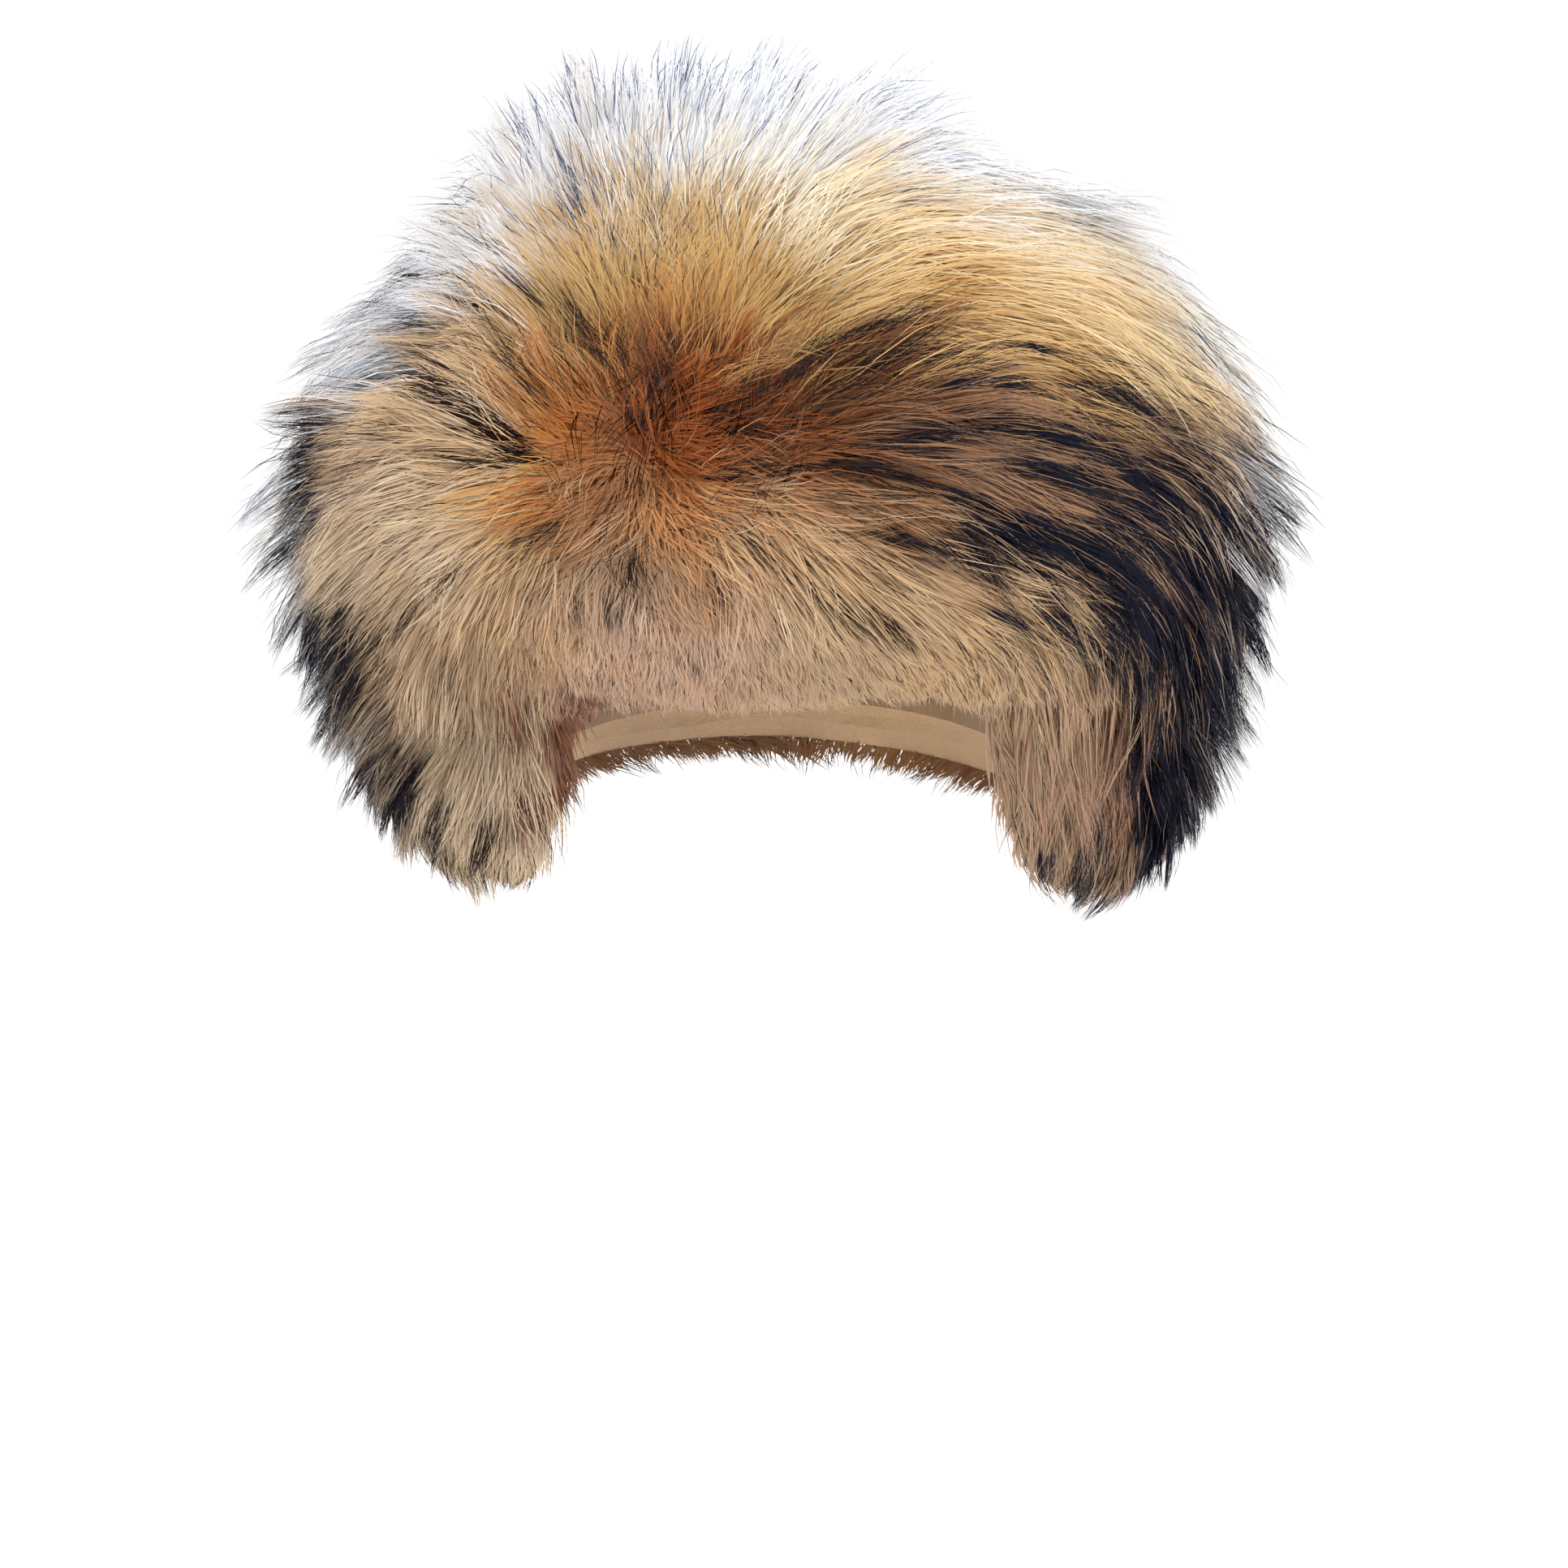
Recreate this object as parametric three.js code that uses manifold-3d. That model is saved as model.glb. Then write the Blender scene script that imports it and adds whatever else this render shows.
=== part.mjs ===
// A fur ushanka as it is worn: a domed crown, a front flap turned up over the brow, an ear flap
// on each side and a nape flap. Each is a sewn wall that carries its own pelt of long locks.
// Millimetres, +Z up. The wearer looks along -Y. The origin is the inside of the crown's top,
// where the head touches it. An azimuth is in degrees from the front, growing towards +X.
import * as THREE from "three";
import { mergeVertices } from "three/addons/utils/BufferGeometryUtils.js";
import Module from "manifold-3d";

const wasm = await Module();
wasm.setup();

// Driving dimensions, for a head of 57 to 58 cm round
const HEAD = { halfWidth: 81, halfLength: 101, dome: 100, fullness: 2.3 };
const WALL = 3; // pelt leather, wadding and cloth, sewn together
const GAP = 0.4; // between a wall and what lies on it
const SEAM = 0.35; // between neighbours along a seam or a parting
const FLARE = { from: -106, drop: 60, out: 7, start: 36, end: 46 }; // the flaps clear the neck
const STATION = 9; // degrees between the meridians that all walls share
const SAG = 0.6; // how far the facets of two surfaces may part between their edges
const SEAM_ANGLE = 0.1; // degrees from a meridian to a wall's end at a seam

// Outer form of the fur, a row for each level: how far it reaches from the axis to each side
const FUR_FORM = [
  { z: 57, left: 0, right: 0, front: 0, back: 0 },
  { z: 50, left: 68, right: 36, front: 46, back: 50 },
  { z: 35, left: 86, right: 74, front: 80, back: 86 },
  { z: 18, left: 94, right: 110, front: 108, back: 114 },
  { z: 2, left: 122, right: 131, front: 128, back: 133 },
  { z: -15, left: 139, right: 143, front: 143, back: 146 },
  { z: -37, left: 150, right: 151, front: 156, back: 156 },
  { z: -62, left: 155, right: 156, front: 164, back: 162 },
  { z: -88, left: 156, right: 157, front: 163, back: 163 },
  { z: -110, left: 153, right: 154, front: 151, back: 159 },
  { z: -131, left: 146, right: 148, front: 138, back: 151 },
  { z: -157, left: 136, right: 140, front: 130, back: 139 },
  { z: -200, left: 119, right: 127, front: 117, back: 122 },
];
const PILE = 0.86; // share of the fur's depth that is closed pile; the locks stand on it
const PILE_CENTRE = -60; // height that the upper pile spreads from
const MERIDIANS = [0, 10, 20, 30, 37, 42, 49, 58, 68, 80, 92, 104, 116, 128, 141, 154, 167, 180];
const FREE_EDGE_FUR = 9; // its thickness at the free edge
const ROUNDING = 36; // how far from its free edge the fur reaches its full depth

// Lower rim of the crown, alike on both sides
const CROWN_RIM = [
  { azimuth: 0, z: -98 },
  { azimuth: 45, z: -97 },
  { azimuth: 60, z: -83 },
  { azimuth: 90, z: -80 },
  { azimuth: 126, z: -84 },
  { azimuth: 180, z: -92 },
];

// Free edge of the fur right round the hat, with the opening for the face in front
const FREE_EDGE = [
  { azimuth: -180, z: -172 },
  { azimuth: -132, z: -180 },
  { azimuth: -90, z: -188 },
  { azimuth: -66, z: -185 },
  { azimuth: -49, z: -184 },
  { azimuth: -42, z: -182 },
  { azimuth: -37, z: -128 },
  { azimuth: -30, z: -108 },
  { azimuth: 0, z: -109 },
  { azimuth: 30, z: -108 },
  { azimuth: 37, z: -124 },
  { azimuth: 42, z: -164 },
  { azimuth: 49, z: -180 },
  { azimuth: 60, z: -190 },
  { azimuth: 78, z: -197 },
  { azimuth: 95, z: -196 },
  { azimuth: 132, z: -184 },
  { azimuth: 180, z: -172 },
];

// Walls of the flaps: where they start and end, and their lower edges
const FRONT_FLAP = { end: 63, top: -45.6, topDrop: 5, bottom: -104, bottomRise: 13 };
const EAR_FLAP = { start: 45, end: 126, furStart: 20, bottom: -165, corner: 28 };
const NAPE_FLAP = { bottom: -152, atEars: -157 };

// Partings between the pelts: height on the wall, and how much they rise going outwards
const BROW_PARTING = { end: 65, z: -45, rise: 0.6 };
const SIDE_PARTING = { below: 0.8, rise: -0.3 };
const TEMPLE_PARTING = { rise: -0.1 };
const TEMPLE_HEIGHT = [
  { azimuth: 0, z: -152 },
  { azimuth: 30, z: -152 },
  { azimuth: 37, z: -112 },
  { azimuth: 65, z: -96 },
];
const PARTING_RADII = { inner: 30, outer: 230 };
const PARTING_STEP = 5; // degrees between the lines that a parting is drawn with
const FAR_BELOW = -240;

// Whorls that the hair turns away from. It hangs more with each millimetre below a level.
const WHORLS = {
  crown: { at: [-10, -98, 8], hang: 0.1, hangPerMm: 0.0024 },
  brow: { at: [-43, -152, -44], hang: 0.12, hangPerMm: 0.0024 },
};
const HANG = { below: -90, left: 0.011, right: 0.025 };

// Locks, a row for each level that they are rooted at
const LOCK_ROWS = [
  { z: 55, count: 4, turn: 40, length: 58, width: 23 },
  { z: 43, count: 9, turn: 20, length: 62, width: 25 },
  { z: 20, count: 12, turn: 5, length: 66, width: 26 },
  { z: -8, count: 14, turn: 14, length: 66, width: 26 },
  { z: -36, count: 16, turn: 3, length: 66, width: 26 },
  { z: -64, count: 16, turn: 12, length: 66, width: 26 },
  { z: -92, count: 16, turn: 2, length: 64, width: 25 },
  { z: -120, count: 16, turn: 11, length: 58, width: 24 },
  { z: -146, count: 16, turn: 1, length: 46, width: 21 },
];
const SLIVER = 1; // details of the locks smaller than this are smoothed over
const STRAY = { turn: 4, height: 4, length: 0.16 }; // how far locks differ from their row

// Sections along a lock: share of its length and of its width, and how deep its edges lie
const LOCK_SECTIONS = [
  { share: 0, width: 0.7, depth: 12 },
  { share: 0.35, width: 1, depth: 9 },
  { share: 0.7, width: 0.8, depth: 4 },
];
const LOCK = { ridge: 0.3, lift: 4, pastEdge: 10 };

const RAD = Math.PI / 180;
const UP = new THREE.Vector3(0, 0, 1);
const clamp = (x, low, high) => Math.min(Math.max(x, low), high);
const mix = (a, b, share) => a + (b - a) * share;
const signed = (azimuth) => ((azimuth + 540) % 360) - 180;
const folded = (azimuth) => Math.abs(signed(azimuth));
const azimuthOf = (point) => Math.atan2(point.x, -point.y) / RAD;
const place = (azimuth, radius, z) =>
  new THREE.Vector3(radius * Math.sin(azimuth * RAD), -radius * Math.cos(azimuth * RAD), z);

// Straight lines between the heights of a table
function heightIn(rows, azimuth) {
  const i = clamp(rows.findIndex((row) => row.azimuth >= azimuth), 1, rows.length - 1);
  const share = (azimuth - rows[i - 1].azimuth) / (rows[i].azimuth - rows[i - 1].azimuth);
  return mix(rows[i - 1].z, rows[i].z, clamp(share, 0, 1));
}

const crownRim = (azimuth) => heightIn(CROWN_RIM, folded(azimuth));
const freeEdge = (azimuth) => heightIn(FREE_EDGE, signed(azimuth));
const temple = (azimuth, sideways = 0) => heightIn(TEMPLE_HEIGHT, folded(azimuth) - sideways);

// A smooth curve through the squares of a column of the fur's form, so that its top is round
function formReach(column, z) {
  const last = FUR_FORM.length - 1;
  if (z >= FUR_FORM[0].z) return 0;
  if (z <= FUR_FORM[last].z) return FUR_FORM[last][column];
  const i = FUR_FORM.findIndex((row) => row.z < z) - 1;
  const square = (k) => FUR_FORM[k][column] ** 2;
  const slope = (k) => {
    const above = Math.max(k - 1, 0);
    const below = Math.min(k + 1, last);
    return (square(below) - square(above)) / (FUR_FORM[below].z - FUR_FORM[above].z);
  };
  const span = FUR_FORM[i + 1].z - FUR_FORM[i].z;
  const t = (z - FUR_FORM[i].z) / span;
  const value =
    square(i) * (2 * t ** 3 - 3 * t ** 2 + 1) +
    square(i + 1) * (3 * t ** 2 - 2 * t ** 3) +
    slope(i) * span * (t ** 3 - 2 * t ** 2 + t) +
    slope(i + 1) * span * (t ** 3 - t ** 2);
  return Math.sqrt(Math.max(value, 0));
}

// Radius at an azimuth of an ellipse with the given half axes
function ellipse(across, ahead, azimuth) {
  return 1 / Math.hypot(Math.sin(azimuth * RAD) / across, Math.cos(azimuth * RAD) / ahead);
}

// Radius of the surface that lies a distance off the head, at a height
function skin(azimuth, z, off) {
  const below = clamp((FLARE.from - z) / FLARE.drop, 0, 1);
  const side = clamp((folded(azimuth) - FLARE.start) / (FLARE.end - FLARE.start), 0, 1);
  const base = ellipse(HEAD.halfWidth + off, HEAD.halfLength + off, azimuth);
  const flare = FLARE.out * side * below ** 1.5;
  const up = clamp((z + HEAD.dome) / (HEAD.dome + off), 0, 1);
  return (base + flare) * (1 - up ** HEAD.fullness) ** (1 / HEAD.fullness);
}

// Distance over the surface from a place to the free edge, and nothing beyond it
function fromFreeEdge(azimuth, z) {
  if (z <= freeEdge(azimuth)) return 0;
  const arc = HEAD.halfLength * RAD;
  let least = Infinity;
  for (let i = 1; i < FREE_EDGE.length; i++) {
    const a = FREE_EDGE[i - 1];
    const b = FREE_EDGE[i];
    const run = (b.azimuth - a.azimuth) * arc;
    const drop = b.z - a.z;
    const ahead = (signed(azimuth) - a.azimuth) * arc;
    const share = clamp((ahead * run + (z - a.z) * drop) / (run ** 2 + drop ** 2), 0, 1);
    least = Math.min(least, Math.hypot(ahead - share * run, z - a.z - share * drop));
  }
  return least;
}

// Radius of the fur's full form at a height
function furRadius(azimuth, z) {
  const column = signed(azimuth) > 0 ? "right" : "left";
  const row = folded(azimuth) < 90 ? "front" : "back";
  const full = z < FUR_FORM[0].z ? ellipse(formReach(column, z), formReach(row, z), azimuth) : 0;
  const wall = skin(azimuth, z, WALL);
  const share = clamp(fromFreeEdge(azimuth, z) / ROUNDING, 0, 1);
  const rounded = Math.sqrt(1 - (1 - share) ** 2);
  return wall + Math.max((full - wall) * rounded, z < HEAD.dome / -2 ? FREE_EDGE_FUR : 0);
}

// How far a ray goes before it leaves a form that is given by its radius at each height
function wayOut(from, ray, radiusAt) {
  let inside = 0;
  let outside = PARTING_RADII.outer;
  for (let i = 0; i < 24; i++) {
    const middle = (inside + outside) / 2;
    const z = from.z + ray.z * middle;
    if (Math.hypot(ray.x, ray.y) * middle < radiusAt(z)) inside = middle;
    else outside = middle;
  }
  return inside;
}

// Moves a point straight in or out to a share of the fur's depth. That is level on the sides,
// and on the dome it is along a line from the pile's centre.
function onFur(point, share) {
  const azimuth = azimuthOf(point);
  const from = new THREE.Vector3(0, 0, Math.min(point.z, PILE_CENTRE));
  const ray = point.clone().sub(from).normalize();
  const wall = wayOut(from, ray, (z) => skin(azimuth, z, WALL));
  const full = wayOut(from, ray, (z) => furRadius(azimuth, z));
  return from.addScaledVector(ray, mix(wall, full, share));
}

// A manifold-3d solid from points and triangles; triangles with no area are left out
function solid(points, faces) {
  const corners = faces.flat().flatMap((i) => points[i].toArray());
  const loose = new THREE.BufferGeometry();
  loose.setAttribute("position", new THREE.Float32BufferAttribute(corners, 3));
  const merged = mergeVertices(loose, 1e-3);
  const index = [];
  for (let i = 0; i < merged.index.count; i += 3) {
    const [a, b, c] = merged.index.array.slice(i, i + 3);
    if (a !== b && b !== c && c !== a) index.push(a, b, c);
  }
  const vertProperties = merged.attributes.position.array;
  const mesh = new wasm.Mesh({ numProp: 3, vertProperties, triVerts: new Uint32Array(index) });
  return new wasm.Manifold(mesh);
}

// Closed body between two grids of points, each given by column and row. The last column of a
// ring meets its first. Where a row is a single point, its triangles close up by themselves.
function shell({ columns, rows, ring = false, outer, inner }) {
  const width = ring ? columns : columns + 1;
  const points = [];
  const faces = [];
  for (const grid of [outer, inner])
    for (let row = 0; row <= rows; row++)
      for (let column = 0; column < width; column++) points.push(grid(column, row));
  const at = (grid, column, row) => (grid * (rows + 1) + row) * width + (column % width);
  const quad = (a, b, c, d) => faces.push([a, b, c], [a, c, d]);
  for (let row = 0; row < rows; row++)
    for (let column = 0; column < columns; column++)
      for (const grid of [0, 1]) {
        const left = [at(grid, column, row), at(grid, column, row + 1)];
        const right = [at(grid, column + 1, row + 1), at(grid, column + 1, row)];
        if (grid) quad(right[1], right[0], left[1], left[0]);
        else quad(left[0], left[1], right[0], right[1]);
      }
  for (let column = 0; column < columns; column++) {
    quad(at(0, column, rows), at(1, column, rows), at(1, column + 1, rows), at(0, column + 1, rows));
    quad(at(1, column, 0), at(0, column, 0), at(0, column + 1, 0), at(1, column + 1, 0));
  }
  for (let row = 0; row < rows && !ring; row++) {
    quad(at(1, 0, row), at(1, 0, row + 1), at(0, 0, row + 1), at(0, 0, row));
    quad(at(0, columns, row), at(0, columns, row + 1), at(1, columns, row + 1), at(1, columns, row));
  }
  return solid(points, faces);
}

// Heights of a dome's rows, closer together towards its top
const DOME_ROWS = 7;
const domeHeight = (row, top, rim) => mix(top, rim, 1 - Math.cos((row / DOME_ROWS) * 90 * RAD));

function crownWall() {
  const columns = 360 / STATION;
  const layer = (off) => (column, row) => {
    const azimuth = column * STATION;
    const z = domeHeight(row, off, crownRim(azimuth));
    return place(azimuth, skin(azimuth, z, off), z);
  };
  return shell({ columns, rows: DOME_ROWS, ring: true, outer: layer(WALL), inner: layer(0) });
}

// A flap's wall between two azimuths, with its inner face a distance off the head
function flapWall({ from, to, off, top, bottom }) {
  const rows = 5;
  const columns = Math.round((to - from) / STATION);
  const layer = (out) => (column, row) => {
    const azimuth = clamp(Math.round(from / STATION) * STATION + column * STATION, from, to);
    const z = mix(top(azimuth), bottom(azimuth), row / rows);
    return place(azimuth, skin(azimuth, z, out), z);
  };
  return shell({ columns, rows, outer: layer(off + WALL), inner: layer(off) });
}

// Turned up over the crown's front, with its free edge on top
function frontFlapWall() {
  const sideways = (azimuth) => (azimuth / FRONT_FLAP.end) ** 4;
  return flapWall({
    from: -FRONT_FLAP.end,
    to: FRONT_FLAP.end,
    off: WALL + GAP,
    top: (azimuth) => FRONT_FLAP.top - FRONT_FLAP.topDrop * sideways(azimuth),
    bottom: (azimuth) => FRONT_FLAP.bottom + FRONT_FLAP.bottomRise * sideways(azimuth),
  });
}

// Side is 1 towards +X and -1 towards -X. The lower front corner is round.
function earFlapWall(side) {
  const ends = [side * EAR_FLAP.start, side * (EAR_FLAP.end - SEAM_ANGLE)];
  return flapWall({
    from: Math.min(...ends),
    to: Math.max(...ends),
    off: 0,
    top: (azimuth) => crownRim(azimuth) - SEAM,
    bottom: (azimuth) => {
      const share = (folded(azimuth) - EAR_FLAP.start) / (EAR_FLAP.end - EAR_FLAP.start);
      const corner = EAR_FLAP.corner * clamp(1 - 2 * share, 0, 1) ** 3;
      const atNape = clamp(2 * share - 1, 0, 1) ** 2;
      return mix(EAR_FLAP.bottom + corner, NAPE_FLAP.atEars, atNape);
    },
  });
}

function napeFlapWall() {
  return flapWall({
    from: EAR_FLAP.end + SEAM_ANGLE,
    to: 360 - EAR_FLAP.end - SEAM_ANGLE,
    off: 0,
    top: (azimuth) => crownRim(azimuth) - SEAM,
    bottom: (azimuth) => {
      const away = (180 - folded(azimuth)) / (180 - EAR_FLAP.end);
      return mix(NAPE_FLAP.bottom, NAPE_FLAP.atEars, away ** 2);
    },
  });
}

// The closed pile of the whole hat
function closedPile() {
  const domeRows = 6;
  const sideRows = 6;
  const points = [];
  const faces = [];
  const add = (point) => points.push(point) - 1;
  const summit = add(onFur(new THREE.Vector3(0, 0, 1), PILE));
  const foot = add(new THREE.Vector3(0, 0, -HEAD.dome));
  const left = MERIDIANS.slice(1, -1).map((azimuth) => -azimuth);
  const meridians = [...MERIDIANS, ...left.reverse()].map((azimuth) => {
    const meridian = [];
    for (let row = 1; row <= domeRows; row++) {
      const climb = 90 * (1 - row / domeRows) * RAD;
      const aim = place(azimuth, Math.cos(climb), PILE_CENTRE + Math.sin(climb));
      meridian.push(add(onFur(aim, PILE)));
    }
    for (let row = 1; row <= sideRows; row++) {
      const z = mix(PILE_CENTRE, freeEdge(azimuth), Math.sin((row / sideRows) * 90 * RAD));
      meridian.push(add(onFur(place(azimuth, 1, z), PILE)));
    }
    return meridian;
  });
  meridians.forEach((here, column) => {
    const next = meridians[(column + 1) % meridians.length];
    faces.push([summit, here[0], next[0]], [foot, next.at(-1), here.at(-1)]);
    for (let row = 1; row < here.length; row++)
      faces.push([here[row - 1], here[row], next[row]], [here[row - 1], next[row], next[row - 1]]);
  });
  return solid(points, faces);
}

// Which way the fur's surface faces at a place
function facing(point) {
  const step = 3;
  const across = place(azimuthOf(point) + 90, 1, 0);
  const from = new THREE.Vector3(0, 0, Math.min(point.z, PILE_CENTRE));
  const over = point.clone().sub(from).normalize().cross(across);
  const here = onFur(point, 1);
  const beside = onFur(point.clone().addScaledVector(across, step), 1).sub(here);
  const beyond = onFur(point.clone().addScaledVector(over, step), 1).sub(here);
  const out = beside.cross(beyond).normalize();
  return out.dot(point.clone().sub(from)) < 0 ? out.negate() : out;
}

// The way that the hair lies at a place
function lieAt(point, outwards) {
  const parting = BROW_PARTING.z + BROW_PARTING.rise * (point.length() - HEAD.halfLength);
  const onBrow = folded(azimuthOf(point)) < BROW_PARTING.end && point.z < parting;
  const whorl = onBrow || point.z < HANG.below ? WHORLS.brow : WHORLS.crown;
  const away = point.clone().sub(new THREE.Vector3(...whorl.at));
  const side = point.x < 0 ? HANG.left : HANG.right;
  const hang = whorl.hang + away.length() * whorl.hangPerMm;
  const low = Math.max(HANG.below - point.z, 0) * side;
  const lie = away.normalize().addScaledVector(UP, -hang - low);
  return lie.addScaledVector(outwards, -lie.dot(outwards)).normalize();
}

// One lock: a tapered tongue with a ridge, which follows the hair and lifts off at its tip
function lock(root, length, width) {
  const points = [];
  const faces = [];
  let here = onFur(root, 1);
  let outwards = facing(here);
  LOCK_SECTIONS.forEach((section, i) => {
    const lie = lieAt(here, outwards);
    const across = outwards.clone().cross(lie).multiplyScalar((width / 2) * section.width);
    const middle = here.clone().addScaledVector(outwards, -section.depth);
    points.push(middle.clone().add(across));
    points.push(middle.clone().addScaledVector(outwards, LOCK.ridge * width * section.width));
    points.push(middle.sub(across));
    const on = (LOCK_SECTIONS[i + 1]?.share ?? 1) - section.share;
    here = onFur(here.clone().addScaledVector(lie, length * on), 1);
    outwards = facing(here);
  });
  const tip = points.push(here.addScaledVector(outwards, LOCK.lift)) - 1;
  faces.push([0, 2, 1]);
  for (let side = 0; side < 3; side++) {
    const beside = (side + 1) % 3;
    for (let ring = 0; ring < tip - 3; ring += 3) {
      faces.push([ring + side, ring + beside, ring + 3 + beside]);
      faces.push([ring + side, ring + 3 + beside, ring + 3 + side]);
    }
    faces.push([tip - 3 + side, tip - 3 + beside, tip]);
  }
  return solid(points, faces);
}

// All locks: level rows round the hat, left out over the face and cut short by the free edge
function locks() {
  const made = [];
  for (const row of LOCK_ROWS)
    for (let i = 0; i < row.count; i++) {
      const stray = Math.sin(row.turn + i * i);
      const azimuth = signed((360 * i) / row.count + row.turn + STRAY.turn * stray);
      const z = row.z + STRAY.height * Math.cos(3 * i);
      const toEdge = z < PILE_CENTRE ? fromFreeEdge(azimuth, z) : row.length;
      const length = Math.min(row.length * (1 + STRAY.length * stray), toEdge + LOCK.pastEdge);
      if (toEdge < LOCK.pastEdge) continue;
      made.push(lock(place(azimuth, furRadius(azimuth, z), z), length, row.width));
    }
  return wasm.Manifold.union(made);
}

// Everything inside the surface that lies a distance off the head, down past the free edge
function headSolid(off) {
  const columns = 360 / STATION;
  const lower = [-110, -122, -136, -150, -166, FAR_BELOW];
  const points = [new THREE.Vector3(0, 0, off), new THREE.Vector3(0, 0, lower.at(-1))];
  const faces = [];
  const rows = DOME_ROWS + lower.length;
  for (let column = 0; column < columns; column++) {
    const azimuth = column * STATION;
    const rim = crownRim(azimuth);
    for (let row = 1; row <= rows; row++) {
      const z = row > DOME_ROWS ? lower[row - DOME_ROWS - 1] : domeHeight(row, off, rim);
      points.push(place(azimuth, skin(azimuth, z, off), z));
    }
  }
  for (let column = 0; column < columns; column++) {
    const here = 2 + column * rows;
    const next = 2 + ((column + 1) % columns) * rows;
    faces.push([0, here, next], [1, next + rows - 1, here + rows - 1]);
    for (let row = 1; row < rows; row++)
      faces.push([here + row - 1, here + row, next + row], [here + row - 1, next + row, next + row - 1]);
  }
  return solid(points, faces);
}

// Space between two parting surfaces and two azimuths. A parting is a height on the wall for
// each azimuth and its rise for each millimetre outwards.
function sector({ from, to, ring = false, upper, lower }) {
  const columns = Math.round((to - from) / PARTING_STEP);
  const layer = (radius) => (column, row) => {
    const azimuth = mix(from, to, column / columns);
    const { z, rise } = (row ? lower : upper)(azimuth);
    return place(azimuth, radius, z + rise * (radius - skin(azimuth, z, WALL)));
  };
  const outer = layer(PARTING_RADII.outer);
  return shell({ columns, rows: 1, ring, outer, inner: layer(PARTING_RADII.inner) });
}

// Space of the front flap's pelt, or with a margin round it
const browSector = (margin) =>
  sector({
    from: -BROW_PARTING.end - margin / 2,
    to: BROW_PARTING.end + margin / 2,
    upper: () => ({ z: BROW_PARTING.z + margin, rise: BROW_PARTING.rise }),
    lower: (azimuth) => ({ z: temple(azimuth, margin / 2) - margin, rise: TEMPLE_PARTING.rise }),
  });

// Space below the crown's pelt between two azimuths, or with a margin over it
const lowerSector = (from, to, margin, ring = false) =>
  sector({
    from,
    to,
    ring,
    upper: (azimuth) => ({
      z: crownRim(azimuth) - SIDE_PARTING.below + margin,
      rise: SIDE_PARTING.rise,
    }),
    lower: () => ({ z: FAR_BELOW, rise: 0 }),
  });

// The largest body of a solid, without the scraps that the partings cut off
function body(whole) {
  return whole.decompose().sort((a, b) => b.volume() - a.volume())[0];
}

const whole = wasm.Manifold.union([closedPile(), locks()]).asOriginal().simplify(SLIVER);
const fur = whole.subtract(headSolid(WALL + GAP));
const behindBrow = fur.subtract(browSector(SEAM));
const earEnd = EAR_FLAP.end - SEAM_ANGLE;
const napeEnd = EAR_FLAP.end + SEAM_ANGLE;

const SUEDE = { name: "pelt_leather", color: "#b39a7e", roughness: 0.85, metalness: 0 };
const BLONDE = { name: "blonde_fur", color: "#d9b878", roughness: 0.8, metalness: 0 };
const BROWN = { name: "brown_fur", color: "#a8703f", roughness: 0.8, metalness: 0 };
const TAN = { name: "tan_fur", color: "#b8966a", roughness: 0.8, metalness: 0 };

const PIECES = [
  { name: "crown", shape: crownWall(), finish: SUEDE },
  { name: "front_flap", shape: frontFlapWall(), finish: SUEDE },
  { name: "ear_flap_left", shape: earFlapWall(-1), finish: SUEDE },
  { name: "ear_flap_right", shape: earFlapWall(1), finish: SUEDE },
  { name: "nape_flap", shape: napeFlapWall(), finish: SUEDE },
  {
    name: "crown_fur",
    shape: behindBrow.subtract(lowerSector(0, 360, SEAM, true)),
    finish: BLONDE,
  },
  {
    name: "front_flap_fur",
    shape: fur.intersect(browSector(0)).subtract(headSolid(2 * (WALL + GAP) + SAG)),
    finish: BROWN,
  },
  {
    name: "ear_flap_left_fur",
    shape: behindBrow.intersect(lowerSector(-earEnd, -EAR_FLAP.furStart, 0)),
    finish: TAN,
  },
  {
    name: "ear_flap_right_fur",
    shape: behindBrow.intersect(lowerSector(EAR_FLAP.furStart, earEnd, 0)),
    finish: TAN,
  },
  {
    name: "nape_flap_fur",
    shape: behindBrow.intersect(lowerSector(napeEnd, 360 - napeEnd, 0)),
    finish: TAN,
  },
];

const hat = new THREE.Group();
for (const { name, shape, finish } of PIECES) {
  const { vertProperties, triVerts } = body(shape).getMesh();
  const geometry = new THREE.BufferGeometry();
  geometry.setAttribute("position", new THREE.BufferAttribute(vertProperties, 3));
  geometry.setIndex(new THREE.BufferAttribute(triVerts, 1));
  const piece = new THREE.Mesh(geometry, new THREE.MeshStandardMaterial(finish));
  piece.name = name;
  hat.add(piece);
}

export default hat;
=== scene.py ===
import math

import bmesh
import bpy
import numpy as np
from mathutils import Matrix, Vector, noise
from mathutils.bvhtree import BVHTree


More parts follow.
